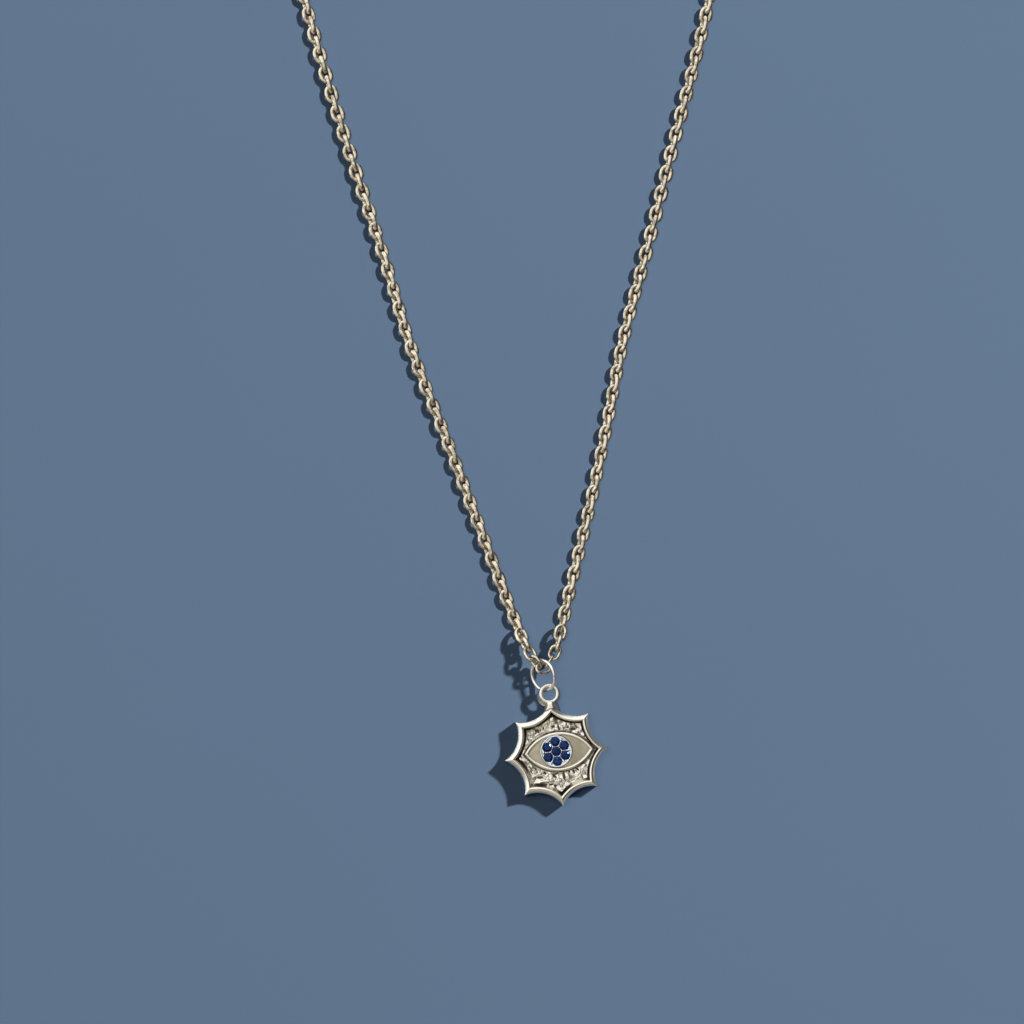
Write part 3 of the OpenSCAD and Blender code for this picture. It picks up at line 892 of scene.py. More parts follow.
def setting_shell(columns=288, step=0.022):
    """The round setting, from the middle of its plate out over the rim to its flat foot."""
    angles = math.tau * np.arange(columns) / columns
    c, s = np.cos(angles), np.sin(angles)
    rings = [(r * c, r * s, setting_height(r * c, r * s))
             for r in np.arange(0.02, PLATE_EDGE_R, step)]
    rings += [(r * c, r * s, np.full(columns, z)) for r, z in SETTING_RIM]
    rings += [(r * c, r * s, np.full(columns, SETTING_FOOT_Z)) for r in SETTING_FOOT]
    points = np.concatenate([np.stack(ring, axis=1) for ring in rings])
    return points, ring_faces(len(rings), columns, flip=True)


def stone_shell(radius, sides=8):
    """A round brilliant: table, star, kite and girdle facets over a faceted pavilion."""
    step = math.tau / sides
    half = 0.016  # of the girdle's height

    def ring(share, z, turn=0.0):
        """A ring of corners at a share of the stone's radius."""
        return [(radius * share * math.cos(step * k + turn),
                 radius * share * math.sin(step * k + turn), z) for k in range(sides)]

    table, stars = ring(0.55, 0.15), ring(0.77, 0.1, step / 2)
    upper, upper_mid = ring(1, half), ring(1, half, step / 2)
    lower, lower_mid = ring(1, -half), ring(1, -half, step / 2)
    deep = ring(0.28, -0.3, step / 2)
    points = table + stars + upper + upper_mid + lower + lower_mid + deep + [(0, 0, -0.4)]
    t, s, u, m, l, n, d = (sides * k for k in range(7))
    culet = sides * 7
    faces = [tuple(range(sides))]
    for k in range(sides):
        after, before = (k + 1) % sides, (k - 1) % sides
        faces += [
            (t + k, s + k, t + after), (t + k, s + before, u + k, s + k),
            (s + k, u + k, m + k), (s + k, m + k, u + after),
            (u + k, l + k, n + k, m + k), (m + k, n + k, l + after, u + after),
            (culet, d + k, l + k, d + before), (d + k, n + k, l + k), (d + k, l + after, n + k),
        ]
    return points, faces


def painted_facet_glint(mesh, seed):
    """How much lighter blue is painted on each facet as a glint, only on those of the crown."""
    light = np.random.default_rng(seed + 1).choice(PAINTED_GLINT_SHARES, len(mesh.polygons))
    return [light[f.index] if f.normal.z > CROWN_UP else 0 for f in mesh.polygons]


def build_iris(scene):
    colours = scene.pendant_colours
    metal = white_metal("white metal setting", colours.white_metal)
    middle = Matrix.Translation((*IRIS_AT, 0))
    mesh = mesh_of("setting", [(*setting_shell(), middle)], degrees=50)
    new_piece("stone_setting", mesh, [metal], "iris_setting", slot="white_metal")
    for k, (name, (x, y)) in enumerate(zip(STONES, stone_middles())):
        glow = colours.stone_bright if k == BRIGHT_STONE else colours.stone_glow
        stone = blue_stone("blue " + name, colours.stone, glow, k)
        turn = Matrix.Rotation(sixth(k), 4, "Z")
        place = middle @ Matrix.Translation((x, y, GIRDLE_Z)) @ turn
        mesh = mesh_of(name, [(*stone_shell(STONE_R), place)], degrees=1)
        store(mesh, "facet", painted_facet_glint(mesh, k), "FACE")
        new_piece("blue_" + name, mesh, [stone], name, slot="blue_stone")


# The jump ring and the real links


# Steps round the jump ring, the one where its two ends meet, and that seam's width and depth
RING_STEPS = 128
RING_SEAM = 92
SEAM_WIDTH = 0.8
SEAM_DEPTH = 0.1


def build_ring(scene):
    chain, colours = scene.pendant_chain, scene.pendant_colours
    section = round_section(chain.ring_wire / MM, sides=20)
    centres, normals = circle_path(chain.ring_radius / MM, RING_STEPS)
    scales = [1 - SEAM_DEPTH * math.exp(-(((k - RING_SEAM) / SEAM_WIDTH) ** 2))
              for k in range(RING_STEPS)]
    ring = swept_loop(centres, normals, section, scales)
    mesh = mesh_of("jump ring", [(*ring, pose_matrix(RING_POSE))])
    gold = polished_gold("drawn gold wire", colours.gold, roughness=0.2, wave=0.005)
    new_piece("jump_ring", mesh, [gold], "bail_ring", slot="ring_gold")


def link_shell(chain, steps=15, sides=14):
    """A real link: wire bent to two half circles and two straights."""
    sizes = chain.link_length / MM, chain.link_width / MM, chain.link_wire / MM
    centres, normals = stadium_path(*sizes, steps)
    return swept_loop(centres, normals, round_section(sizes[2] + chain.plump / MM, sides))


def real_link(scene, name, place):
    """A real link at its place, standing for the CAD node of the same name."""
    mesh = mesh_of(name, [(*link_shell(scene.pendant_chain), place)])
    gold = chain_gold(scene.pendant_colours)
    new_piece("real_" + name, mesh, [gold], name, slot="chain_gold")


def build_links(scene):
    for name, pose in LINK_POSES.items():
        real_link(scene, name, pose_matrix(pose))


# The cable chain

# The arms' routes, measured from the middle of the hanging loop. A point with no height lies on
# the card, where the links are pressed flat.
LEFT_ROUTE = [
    (-1.48, 4.61, 1.42), (-1.88, 5.65, 1.12), (-2.2, 6.75, 0.72), (-2.45, 7.8), (-3.2, 10.7),
    (-5.35, 19.7), (-7.5, 28.8), (-10, 38.9), (-11.9, 50.2), (-14.05, 61.4), (-15.95, 72.6),
    (-17.6, 84.3), (-19.5, 96.5), (-21.5, 109), (-23.5, 121.5), (-25.5, 134), (-27.3, 145),
    (-28.5, 157.6), (-26, 170.3), (-19.7, 181.7), (-10.2, 190.6), (1, 196.6, 0.7),
]
RIGHT_ROUTE = [
    (1.2, 4.37, 1.01), (1.72, 5.36, 0.8), (2.05, 6.3, 0.5), (2.55, 7.6), (3.65, 10.7), (6.9, 19.3),
    (9.9, 27.9), (13, 37.3), (17.1, 47.5), (21.25, 58.1), (25.35, 68.4), (29.6, 80.2),
    (33.9, 91.9), (38.2, 103.7), (42.5, 115.4), (46.7, 127), (50.6, 137.5), (54.1, 148.9),
    (54.3, 161.9), (50.5, 174.3), (43, 185), (33.6, 192.4, 0.7),
]
# How the links lie: distance along the arm and roll of every other link, in degrees
LEFT_ROLLS = [(0, 25), (8, 30), (20, 26), (42, 28), (50, 22), (56, 8), (66, 8), (76, 25),
              (95, 30), (150, 32), (190, 20)]
RIGHT_ROLLS = [(0, 0), (5, 22), (20, 28), (40, 26), (47, 10), (55, 6), (64, 22), (90, 30),
               (150, 32), (190, 20)]
# How oval the arms' links are, from straight sides at 0 to an ellipse at 1
OVAL = 0.6
# How tight the chain is drawn, and how high a link lies over the card before it is pressed
TAUT = 0.98
LINK_LIFT = 0.1
# Straight runs before the end links: distance from the link, height on the left, on the right
ARM_RUN = [(6.25, 0.8, 0.86), (3.65, 0.86, 0.98), (0, 0.9, 1.1)]


def smooth_route(route, parts=24):
    """Points of the smooth curve through the route."""
    knots = np.array(route, float)
    last = len(knots) - 1
    points = []
    for k in range(last):
        a, b = knots[max(k - 1, 0)], knots[k]
        c, d = knots[k + 1], knots[min(k + 2, last)]
        for t in np.arange(parts) / parts:
            points.append(
                b + t * (c - a) / 2 + t**2 * (a - 2.5 * b + 2 * c - 0.5 * d)
                + t**3 * (1.5 * b - 0.5 * a - 1.5 * c + 0.5 * d)
            )
    points.append(knots[-1])
    return np.array(points)


def arm_path(route, rolls, end, chain):
    """The path of an arm's links from the last real link to the end link, with its rolls."""
    wire = chain.strand_wire / MM
    arc = (chain.strand_width / MM - wire) / 2
    full = [p if len(p) == 3 else (*p, math.nan) for p in route] + end
    points = smooth_route([(x, y, 0 if math.isnan(z) else z) for x, y, z in full])
    steps = np.linalg.norm(np.diff(points[:, :2], axis=0), axis=1)
    along = np.concatenate([[0], np.cumsum(steps)])
    pitch = (chain.strand_length / MM - 2 * wire) * TAUT
    count = int(round(along[-1] / pitch))
    last_roll = 0 if count % 2 == 0 else 90
    table = np.array([*rolls, (along[-1], last_roll)], float)
    roll = np.interp(along, table[:, 0], table[:, 1])
    lying = np.abs(np.radians(roll))
    side = arc * np.maximum(np.abs(np.sin(lying)), np.abs(np.cos(lying)))
    low = wire / 2 + side + LINK_LIFT
    pressed = smooth_route([(x, y, 1 if math.isnan(z) else 0) for x, y, z in full])[:, 2]
    pressed = np.clip(pressed, 0, 1)
    low *= 1 - (1 - chain.flatness) * pressed
    points[:, 2] = low * pressed + np.maximum(points[:, 2], low) * (1 - pressed)
    points[0, 2], points[-1, 2] = route[0][2], end[-1][2]
    return points, {"roll": np.radians(roll), "pressed": pressed}, count


# Corners round a link's oval and round its wire
LINK_CORNERS = 18
WIRE_CORNERS = 8
# How far a link may turn about its own axes, as shares of the looseness
JITTER = (1.6, 0.5, 1.0)


def chain_tree(name, material, values):
    """Geometry Nodes that lay a cable chain along a path. Every other link is turned a quarter.

    Values are the tree's named inputs. Also returned are their sockets' identifiers.
    """
    tree = bpy.data.node_groups.new(name, "GeometryNodeTree")
    tree.interface.new_socket("Geometry", in_out="INPUT", socket_type="NodeSocketGeometry")
    sockets = {}
    for label, value in values.items():
        kind = "NodeSocketInt" if isinstance(value, int) else "NodeSocketFloat"
        socket = tree.interface.new_socket(label, in_out="INPUT", socket_type=kind)
        socket.default_value = value
        sockets[label] = socket.identifier
    tree.interface.new_socket("Geometry", in_out="OUTPUT", socket_type="NodeSocketGeometry")
    nodes = Nodes(tree)
    node = nodes.node
    given = {s.name: Wire(nodes, s) for s in tree.nodes.new("NodeGroupInput").outputs if s.name}
    place = node("GeometryNodeInputPosition")

    def stored(name):
        return node("GeometryNodeInputNamedAttribute", {"data_type": "FLOAT"}, {"Name": name})

    def along(axis):
        return node("ShaderNodeSeparateXYZ", sockets={0: place}, output=axis)

    def moved(geometry, **axes):
        offset = node("ShaderNodeCombineXYZ", sockets=axes)
        return node("GeometryNodeSetPosition", sockets={"Geometry": geometry, "Offset": offset})

    def compare(operation, a, b):
        return node("FunctionNodeCompare", {"data_type": "INT", "operation": operation},
                    {2: a, 3: b})

    def jitter(axis):
        """A random turn about an axis."""
        most = JITTER[axis]
        return node("FunctionNodeRandomValue", {"data_type": "FLOAT"}, {
            2: given["Looseness"] * -most, 3: given["Looseness"] * most,
            "Seed": given["Seed"] + axis,
        }, output=1)

    # One link: an oval of wire, lying along X
    radius = (given["Link width"] - given["Wire"]) * 0.5
    straight = (given["Link length"] - given["Link width"]) * 0.5
    oval = node("GeometryNodeCurvePrimitiveCircle",
                sockets={"Resolution": LINK_CORNERS, "Radius": radius})
    x = along("X")
    oval = moved(oval, X=(x.math("SIGN", x) * (1 - OVAL) + x / radius * OVAL) * straight)
    wire = node("GeometryNodeCurvePrimitiveCircle",
                sockets={"Resolution": WIRE_CORNERS, "Radius": given["Wire"] * 0.5})
    link = node("GeometryNodeCurveToMesh", sockets={0: oval, 1: wire})

    # The path, cut into one point for each link and one more at both ends
    path = node("GeometryNodeMeshToCurve", sockets={0: given["Geometry"]})
    path = node("GeometryNodeResampleCurve", sockets={"Curve": path, "Count": given["Links"] + 2.0})
    path = node("GeometryNodeStoreNamedAttribute", {"data_type": "FLOAT", "domain": "POINT"},
                {"Geometry": path, "Name": "middle", "Value": along("Z")})

    # Each link lies along the path, turned by its roll, a quarter on every other and a little
    index = node("GeometryNodeInputIndex")
    line = node("FunctionNodeAxesToRotation", {"primary_axis": "X", "secondary_axis": "Z"},
                {0: node("GeometryNodeInputTangent"), 1: (0, 0, 1)})
    quarter = index.math("MODULO", index, 2.0) * (math.pi / 2)
    turn = node("ShaderNodeCombineXYZ", sockets={
        "X": stored("roll") + quarter + jitter(0), "Y": jitter(1), "Z": jitter(2),
    })
    spin = node("FunctionNodeEulerToRotation", sockets={0: turn})
    turned = node("FunctionNodeRotateRotation", {"rotation_space": "LOCAL"},
                  {"Rotation": line, "Rotate By": spin})
    between = node("FunctionNodeBooleanMath", {"operation": "AND"}, {
        0: compare("GREATER_THAN", index, 0), 1: compare("LESS_EQUAL", index, given["Links"]),
    })
    placed = node("GeometryNodeInstanceOnPoints", sockets={
        "Points": path, "Selection": between, "Instance": link, "Rotation": turned,
    })
    real = node("GeometryNodeRealizeInstances", sockets={0: placed})

    # Links that lie on the card are pressed flat towards their own middles
    share = (1.0 - given["Flatness"]) * stored("pressed")
    flat = moved(real, Z=(stored("middle") - along("Z")) * share)
    smooth = node("GeometryNodeSetShadeSmooth", sockets={"Geometry": flat})
    coated = node("GeometryNodeSetMaterial", sockets={"Geometry": smooth, "Material": material})
    node("NodeGroupOutput", sockets={0: coated})
    return tree, sockets


def chain_gold(colours):
    """The chain's gold with dark blotches at random, made once for all links."""
    name = "chain gold"
    made = bpy.data.materials.get(name)
    return made or polished_gold(name, colours.chain_gold, roughness=0.14, wave=0.01, dull=0.6)


def lay_chain(scene, name, node, route, rolls, end, seed):
    """Lays one arm's links along its route and keeps them as a plain mesh."""
    chain, colours = scene.pendant_chain, scene.pendant_colours
    points, lies, count = arm_path(route, rolls, end, chain)
    places = [(Vector(p) + Vector((*LOOP_AT[:2], 0))) * MM for p in points]
    path = bpy.data.meshes.new(name + " path")
    path.from_pydata(places, [(k, k + 1) for k in range(len(places) - 1)], [])
    for label, numbers in lies.items():
        store(path, label, numbers)
    holder = bpy.data.objects.new(name + " path", path)
    scene.collection.objects.link(holder)
    gold = chain_gold(colours)
    values = {
        "Links": count - 1, "Link length": chain.strand_length, "Link width": chain.strand_width,
        "Wire": chain.strand_wire, "Flatness": chain.flatness, "Looseness": chain.looseness,
        "Seed": seed,
    }
    tree, sockets = chain_tree(name + " tree", gold, values)
    modifier = holder.modifiers.new("cable chain", "NODES")
    modifier.node_group = tree
    for label, value in values.items():
        modifier[sockets[label]] = value
    view = bpy.context.evaluated_depsgraph_get()
    mesh = bpy.data.meshes.new_from_object(holder.evaluated_get(view))
    if not len(mesh.polygons):
        raise RuntimeError(name + " came out with no links")
    bpy.data.objects.remove(holder)
    mesh.materials.clear()
    new_piece(name, mesh, [gold], node, slot="chain_gold")


# The clasp end


def clasp_numbers(chain):
    """Distances along the clasp's line and heights of what it holds, as the CAD works them out."""
    tube, wire, gap, floor = 1.1, 0.34, 0.1, 0.01
    clasp_r, clasp_z, eye_r, eye_wire = 2.5, 1.02, 0.75, 0.44
    eye_at = -(clasp_r + tube / 2 + eye_r + eye_wire / 2 - 0.15)
    left_r, right_r = 1.1, 1.35
    left_z, right_z = left_r + wire / 2 + floor, right_r + wire / 2 + floor
    link_left_z, link_right_z = 0.9, 1.1

    def reach(r, rise):
        return math.sqrt(r * r - rise * rise)

    hold = wire / 2 + chain.link_wire / MM / 2 + 1.4 * gap
    half_link = (chain.link_length - chain.link_wire) / 2 / MM
    left_at = eye_at + eye_r - eye_wire / 2 - gap - wire / 2 - reach(left_r, left_z - clasp_z)
    right_at = clasp_r + 0.14
    return Numbers(
        tube=tube, wire=wire, clasp_r=clasp_r, clasp_z=clasp_z, eye_r=eye_r, eye_wire=eye_wire,
        eye_at=eye_at, left_r=left_r, right_r=right_r, left_z=left_z, right_z=right_z,
        left_at=left_at, right_at=right_at, link_left_z=link_left_z, link_right_z=link_right_z,
        link_left_at=left_at - reach(left_r, left_z - link_left_z) + hold - half_link,
        link_right_at=right_at + reach(right_r, right_z - link_right_z) - hold + half_link,
    )


def arm_ends(chain):
    """The last points of both arms' paths, straight in line with the clasp, to the end links."""
    sizes = clasp_numbers(chain)

    def on_line(along, z):
        place = clasp_matrix(along, 0).translation
        return (place.x - LOOP_AT[0], place.y - LOOP_AT[1], z)

    left = [on_line(sizes.link_left_at - d, low) for d, low, _ in ARM_RUN]
    right = [on_line(sizes.link_right_at + d, low) for d, _, low in ARM_RUN]
    return left, right


# Steps round the clasp's tube
CLASP_STEPS = 144
# The clasp's bolt: where it shows, in degrees, and its thickness as a share of the tube's
BOLT = (-38, 62)
BOLT_SHARE = 0.8
# The bolt's lever: its direction, how far out it stands, and its profile of radius and height
LEVER_AT = 74
LEVER_OUT = 0.35
LEVER = [(0.26, -0.2), (0.27, 0.45), (0.3, 0.6), (0.3, 0.72), (0.24, 0.8), (0.1, 0.83)]


def build_clasp(scene):
    chain, colours = scene.pendant_chain, scene.pendant_colours
    sizes = clasp_numbers(chain)
    scales = [BOLT_SHARE if at < BOLT[1] or at > BOLT[0] + 360 else 1.0
              for at in np.arange(CLASP_STEPS) * 360 / CLASP_STEPS]
    path = circle_path(sizes.clasp_r, CLASP_STEPS)
    tube = swept_loop(*path, round_section(sizes.tube, sides=22), scales)
    path = circle_path(sizes.eye_r, steps=56)
    eye = swept_loop(*path, round_section(sizes.eye_wire, sides=16))
    place = clasp_matrix(0, sizes.clasp_z)
    turn = Matrix.Rotation(math.radians(LEVER_AT), 4, "Z")
    out = turn @ Matrix.Translation((sizes.clasp_r + LEVER_OUT, 0, 0))
    stand = Matrix.Rotation(math.radians(90), 4, "Y")
    mesh = mesh_of("clasp", [
        (*tube, place),
        (*eye, clasp_matrix(sizes.eye_at, sizes.clasp_z)),
        (*lathe(LEVER, steps=20), place @ out @ stand),
    ], degrees=40)
    gold = polished_gold("clasp gold", colours.chain_gold, wave=0.02)
    new_piece("ring_clasp", mesh, [gold], "clasp", slot="clasp_gold")
    ring_gold = polished_gold("end ring gold", colours.chain_gold)
    for name, radius, along, height in (
        ("end_ring_left", sizes.left_r, sizes.left_at, sizes.left_z),
        ("end_ring_right", sizes.right_r, sizes.right_at, sizes.right_z),
    ):
        path = circle_path(radius, steps=72)
        shell = swept_loop(*path, round_section(sizes.wire, sides=16))
        mesh = mesh_of(name, [(*shell, clasp_matrix(along, height, upright=True))])
        new_piece("round_" + name, mesh, [ring_gold], name, slot="ring_gold")
    real_link(scene, "link_left_end", clasp_matrix(sizes.link_left_at, sizes.link_left_z))
    real_link(scene, "link_right_end", clasp_matrix(sizes.link_right_at, sizes.link_right_z))


# The stage


# Half the card's edge in metres, and how far it lies below the part, in millimetres
CARD_HALF = 1.5
CARD_DROP = 0.002
# What the camera and the lights face, in millimetres
TARGET = (-1.47, 26.71, 0.9)
# The lights: distance or place in metres, edge of the softbox in metres and colour
KEY_FAR = 2.0
KEY_EDGE = 0.13
KEY_COLOUR = (1.0, 0.965, 0.92)
FILL_AT = (-0.35, 0.4, 1.5)
FILL_EDGE = 0.8
FILL_COLOUR = (0.9, 0.96, 1.0)
# The camera: lens and sensor in millimetres, distance in metres and the direction of up
LENS = 194
SENSOR = 36
CAMERA_FAR = 0.6
CAMERA_UP = (0.127, 0.992, 0)


def area_light(name, place, target, edge, power, colour, shape="DISK"):
    """A softbox that faces the target and that no metal mirrors."""
    data = bpy.data.lights.new(name, "AREA")
    data.shape = shape
    data.size = edge
    data.energy = power
    data.color = colour
    light = bpy.data.objects.new(name, data)
    light.location = place
    light.rotation_euler = (target - Vector(place)).to_track_quat("-Z", "Y").to_euler()
    light.visible_glossy = False
    bpy.context.scene.collection.objects.link(light)


def heading(azimuth, height):
    """The direction at an azimuth from +X and a height over the horizon, in radians."""
    return Vector((
        math.cos(azimuth) * math.cos(height), math.sin(azimuth) * math.cos(height),
        math.sin(height),
    ))


# What the metal mirrors: azimuth, height, radius of the bright middle and of the edge, and colour
ROOM_COLOUR = (0.07, 0.066, 0.06)
ROOM_CARDS = [
    (0, -90, 88, 106, (0.5, 0.45, 0.37)),
    (0, -90, 60, 90, (0.127, 0.19, 0.287)),
    (40, 5, 25, 50, (0.17, 0.165, 0.17)),
    (240, 18, 28, 60, (0.46, 0.4, 0.31)),
    (150, 18, 30, 55, (1.28, 1.28, 1.26)),
    (95, 30, 22, 48, (1.24, 1.25, 1.23)),
    (125, 62, 24, 44, (1.32, 1.31, 1.27)),
    (125, 87, 4, 24, (0.85, 0.83, 0.77)),
]


def room(studio):
    """The room round the table, seen in the metal only: bright cards over a dark room."""
    finish = Finish("room", room=True)
    view = finish.node("ShaderNodeTexCoord", output="Generated")
    tone = rgba(ROOM_COLOUR)
    for azimuth, height, inner, outer, card in ROOM_CARDS:
        way = heading(math.radians(azimuth), math.radians(height))
        toward = finish.node("ShaderNodeVectorMath", {"operation": "DOT_PRODUCT"},
                             {0: view, 1: way}, output="Value")
        low, high = math.cos(math.radians(outer)), math.cos(math.radians(inner))
        tone = finish.mix(toward.between(low, high), tone, rgba(card))
    bounces = finish.node("ShaderNodeLightPath", output="Diffuse Depth")
    direct = bounces.math("LESS_THAN", bounces, 0.5)
    glow = finish.node("ShaderNodeBackground", sockets={
        "Color": tone, "Strength": direct * studio.world_strength,
    })
    finish.node("ShaderNodeOutputWorld", sockets={"Surface": glow})
    return finish.material


def build_stage(scene):
    studio = scene.pendant_studio
    floor = bpy.data.meshes.new("studio card")
    corners = [(-1, -1), (1, -1), (1, 1), (-1, 1)]
    floor.from_pydata([(x * CARD_HALF, y * CARD_HALF, 0) for x, y in corners], [], [(0, 1, 2, 3)])
    floor.materials.append(studio_floor("studio card", studio.floor))
    card = bpy.data.objects.new("studio_card", floor)
    card.location.z = -CARD_DROP * MM
    scene.collection.objects.link(card)

    target = Vector(TARGET) * MM
    to_key = heading(studio.key_azimuth, studio.key_height)
    area_light("key softbox", target + to_key * KEY_FAR, target, KEY_EDGE, studio.key_power,
               KEY_COLOUR)
    area_light("fill softbox", FILL_AT, target, FILL_EDGE, studio.fill_power, FILL_COLOUR, "SQUARE")
    scene.world = room(studio)
    scene.world.cycles_visibility.diffuse = False
    scene.view_settings.view_transform = "Standard"
    build_camera(scene, target)


def build_camera(scene, target):
    data = bpy.data.cameras.new("camera")
    data.sensor_width = SENSOR
    data.lens = LENS
    data.clip_start = 0.01
    data.clip_end = 20
    camera = bpy.data.objects.new("camera", data)
    lean, side = scene.pendant_studio.camera_lean, scene.pendant_studio.camera_side
    back = Vector((
        math.sin(lean) * math.cos(side), math.sin(lean) * math.sin(side), math.cos(lean),
    ))
    up = Vector(CAMERA_UP)
    up = (up - back * up.dot(back)).normalized()
    across = up.cross(back)
    turn = Matrix((across, up, back)).transposed().to_4x4()
    camera.matrix_world = Matrix.Translation(target + back * CAMERA_FAR) @ turn
    scene.collection.objects.link(camera)
    scene.camera = camera


# What a user can change


def length(name, description, value):
    return FloatProperty(
        name=name, description=description, default=value * MM, min=0, precision=5,
        subtype="DISTANCE", unit="LENGTH",
    )


def angle(name, description, degrees):
    return FloatProperty(
        name=name, description=description, default=math.radians(degrees), subtype="ANGLE",
        unit="ROTATION",
    )


def colour(name, description, value):
    return FloatVectorProperty(
        name=name, description=description, default=value, size=3, min=0, max=1,
        subtype="COLOR",
    )


class PendantStar(bpy.types.PropertyGroup):
    tip: length("Tip radius", "From the centre to the tip of a point", 5.73)
    valley: length("Valley radius", "From the centre to the deepest place between points", 4.49)
    field: length("Field height", "Height of the chiselled field above the back", 1.1)
    loop: length("Loop radius", "Mean radius of the hanging loop", 0.91)
    seed: IntProperty(name="Chisel seed", description="Which way the graver's cuts fall", default=7)


class PendantEye(bpy.types.PropertyGroup):
    width: length("Width", "From corner to corner, along the lids' crest", 7.1)
    height: length("Height", "Between the lids' crests", 3.9)
    right: length("Right of centre", "How far the eye sits right of the star's centre", 0.3)
    up: length("Above centre", "How far the eye sits above the star's centre", 0.25)
    turn: angle("Turn", "Turn of the eye", -2.5)
    lid_height: length("Lid height", "Height of the lids' crest above the back", 1.7)
    white_height: length("White height", "Height of the eye's white above the back", 1.4)


class PendantChain(bpy.types.PropertyGroup):
    link_length: length("Link length", "Length of a link outside", 1.8)
    link_width: length("Link width", "Width of a link outside", 1.33)
    link_wire: length("Link wire", "Diameter of a link's wire in the CAD", 0.28)
    plump: length("Plump", "How much thicker a finished link's wire is", 0.07)
    strand_length: length("Strand link length", "Length of a link in the arms", 2.17)
    strand_width: length("Strand link width", "Width of a link in the arms", 1.6)
    strand_wire: length("Strand wire", "Diameter of a link's wire in the arms", 0.515)
    flatness: FloatProperty(
        name="Flatness", description="Height of the pressed links, as a share of round ones",
        default=0.4, min=0.1, max=1,
    )
    ring_radius: length("Ring radius", "Mean radius of the jump ring", 1.68)
    ring_wire: length("Ring wire", "Diameter of the jump ring's wire", 0.37)
    looseness: angle("Looseness", "How far a link may turn from its line", 2.6)


class PendantColours(bpy.types.PropertyGroup):
    gold: colour("Cast gold", "Gold of the star, its loop and the jump ring", (0.92, 0.885, 0.81))
    chain_gold: colour("Chain gold", "Gold of the chain and the clasp", (0.8, 0.715, 0.58))
    # Colour of the painted shade in the hollows, along the inner wall and on the loop's walls
    painted_shade: colour("Patina", "Dark left in the hollows", (0.045, 0.034, 0.018))
    satin: colour("Satin", "Brushed white of the eye", (0.57, 0.53, 0.41))
    white_metal: colour("White metal", "Setting round the stones", (0.84, 0.89, 0.98))
    stone: colour("Stone", "Body colour of the stones", (0.004, 0.012, 0.07))
    # The lighter blues are also the colour of the painted glints on the crown facets
    stone_glow: colour("Stone glow", "Lighter zones in the stones", (0.012, 0.055, 0.27))
    stone_bright: colour("Bright stone", "Lighter zones in one stone", (0.025, 0.09, 0.46))


class PendantStudio(bpy.types.PropertyGroup):
    floor: colour("Floor", "Colour of the card under the necklace", (0.25, 0.385, 0.6))
    key_power: FloatProperty(
        name="Key power", description="Power of the key softbox", default=29, unit="POWER"
    )
    fill_power: FloatProperty(
        name="Fill power", description="Power of the fill softbox", default=2.6, unit="POWER"
    )
    world_strength: FloatProperty(
        name="Room light", description="Strength of what the metal mirrors", default=1.0
    )
    key_azimuth: angle("Key azimuth", "Direction of the key from +X", 27.7)
    key_height: angle("Key height", "Height of the key above the horizon", 32)
    camera_lean: angle("Camera lean", "How far the camera leans from straight above", 0)
    camera_side: angle("Camera side", "Direction that the camera leans to, from +X", 225)


# Operators


class PENDANT_OT_star(bpy.types.Operator):
    """Build the cast star with its chiselled field, lids, neck and hanging loop"""

    bl_idname = "pendant.star"
    bl_label = "Star pendant"

    def execute(self, context):
        build_star(context.scene)
        return {"FINISHED"}


class PENDANT_OT_iris(bpy.types.Operator):
    """Build the white metal setting and its seven stones"""

    bl_idname = "pendant.iris"
    bl_label = "Iris and stones"

    def execute(self, context):
        build_iris(context.scene)
        return {"FINISHED"}


class PENDANT_OT_ring(bpy.types.Operator):
    """Build the jump ring with its seam"""

    bl_idname = "pendant.ring"
    bl_label = "Jump ring"

    def execute(self, context):
        build_ring(context.scene)
        return {"FINISHED"}


class PENDANT_OT_links(bpy.types.Operator):
    """Build the real links where the chain passes through the ring"""

    bl_idname = "pendant.links"
    bl_label = "Links at the ring"

    def execute(self, context):
        build_links(context.scene)
        return {"FINISHED"}


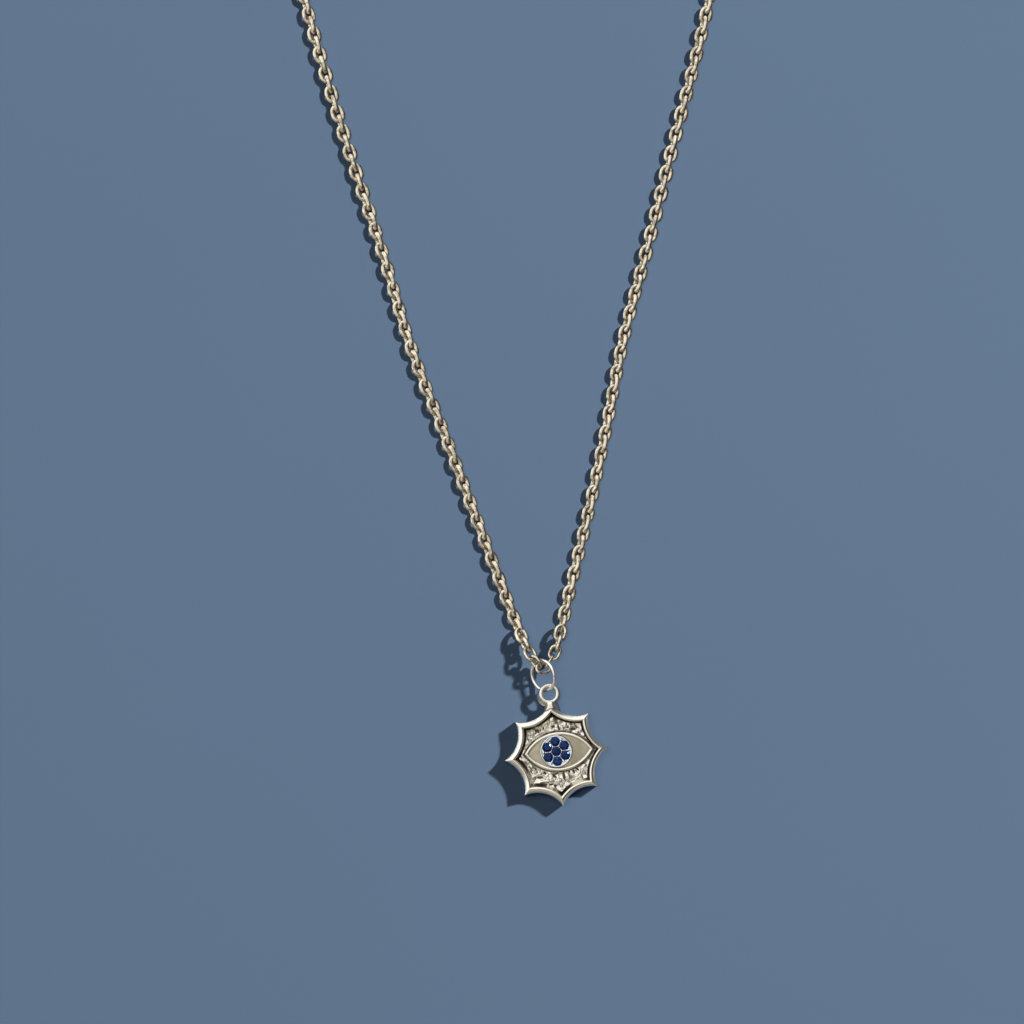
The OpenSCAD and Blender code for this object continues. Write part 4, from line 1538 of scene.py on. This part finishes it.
class PENDANT_OT_chain(bpy.types.Operator):
    """Lay both arms of the cable chain along their routes"""

    bl_idname = "pendant.chain"
    bl_label = "Cable chain"

    def execute(self, context):
        scene = context.scene
        left, right = arm_ends(scene.pendant_chain)
        lay_chain(scene, "cable_left", "chain_left", LEFT_ROUTE, LEFT_ROLLS, left, 3)
        lay_chain(scene, "cable_right", "chain_right", RIGHT_ROUTE, RIGHT_ROLLS, right, 5)
        return {"FINISHED"}


class PENDANT_OT_clasp(bpy.types.Operator):
    """Build the round clasp, its end rings and the end links"""

    bl_idname = "pendant.clasp"
    bl_label = "Clasp end"

    def execute(self, context):
        build_clasp(context.scene)
        return {"FINISHED"}


class PENDANT_OT_stage(bpy.types.Operator):
    """Build the card, the soft lights and the camera"""

    bl_idname = "pendant.stage"
    bl_label = "Stage"

    def execute(self, context):
        build_stage(context.scene)
        return {"FINISHED"}


class PENDANT_PT_panel(bpy.types.Panel):
    bl_label = "Pendant"
    bl_idname = "PENDANT_PT_panel"
    bl_space_type = "VIEW_3D"
    bl_region_type = "UI"
    bl_category = "Pendant"

    def draw(self, context):
        for operator in OPERATORS:
            self.layout.operator(operator.bl_idname)
        for name, group in GROUPS.items():
            box = self.layout.box()
            settings = getattr(context.scene, name)
            for prop in group.__annotations__:
                box.prop(settings, prop)


GROUPS = {
    "pendant_star": PendantStar, "pendant_eye": PendantEye, "pendant_chain": PendantChain,
    "pendant_colours": PendantColours, "pendant_studio": PendantStudio,
}
OPERATORS = [
    PENDANT_OT_stage, PENDANT_OT_star, PENDANT_OT_iris, PENDANT_OT_ring, PENDANT_OT_links,
    PENDANT_OT_chain, PENDANT_OT_clasp,
]


def register():
    for cls in [*GROUPS.values(), *OPERATORS, PENDANT_PT_panel]:
        bpy.utils.register_class(cls)
    for name, group in GROUPS.items():
        setattr(bpy.types.Scene, name, PointerProperty(type=group))


def unregister():
    for name in GROUPS:
        delattr(bpy.types.Scene, name)
    for cls in reversed([*GROUPS.values(), *OPERATORS, PENDANT_PT_panel]):
        bpy.utils.unregister_class(cls)


def main():
    register()
    bpy.ops.pendant.stage()
    bpy.ops.pendant.star()
    bpy.ops.pendant.iris()
    bpy.ops.pendant.ring()
    bpy.ops.pendant.links()
    bpy.ops.pendant.chain()
    bpy.ops.pendant.clasp()


if __name__ == "__main__":
    main()
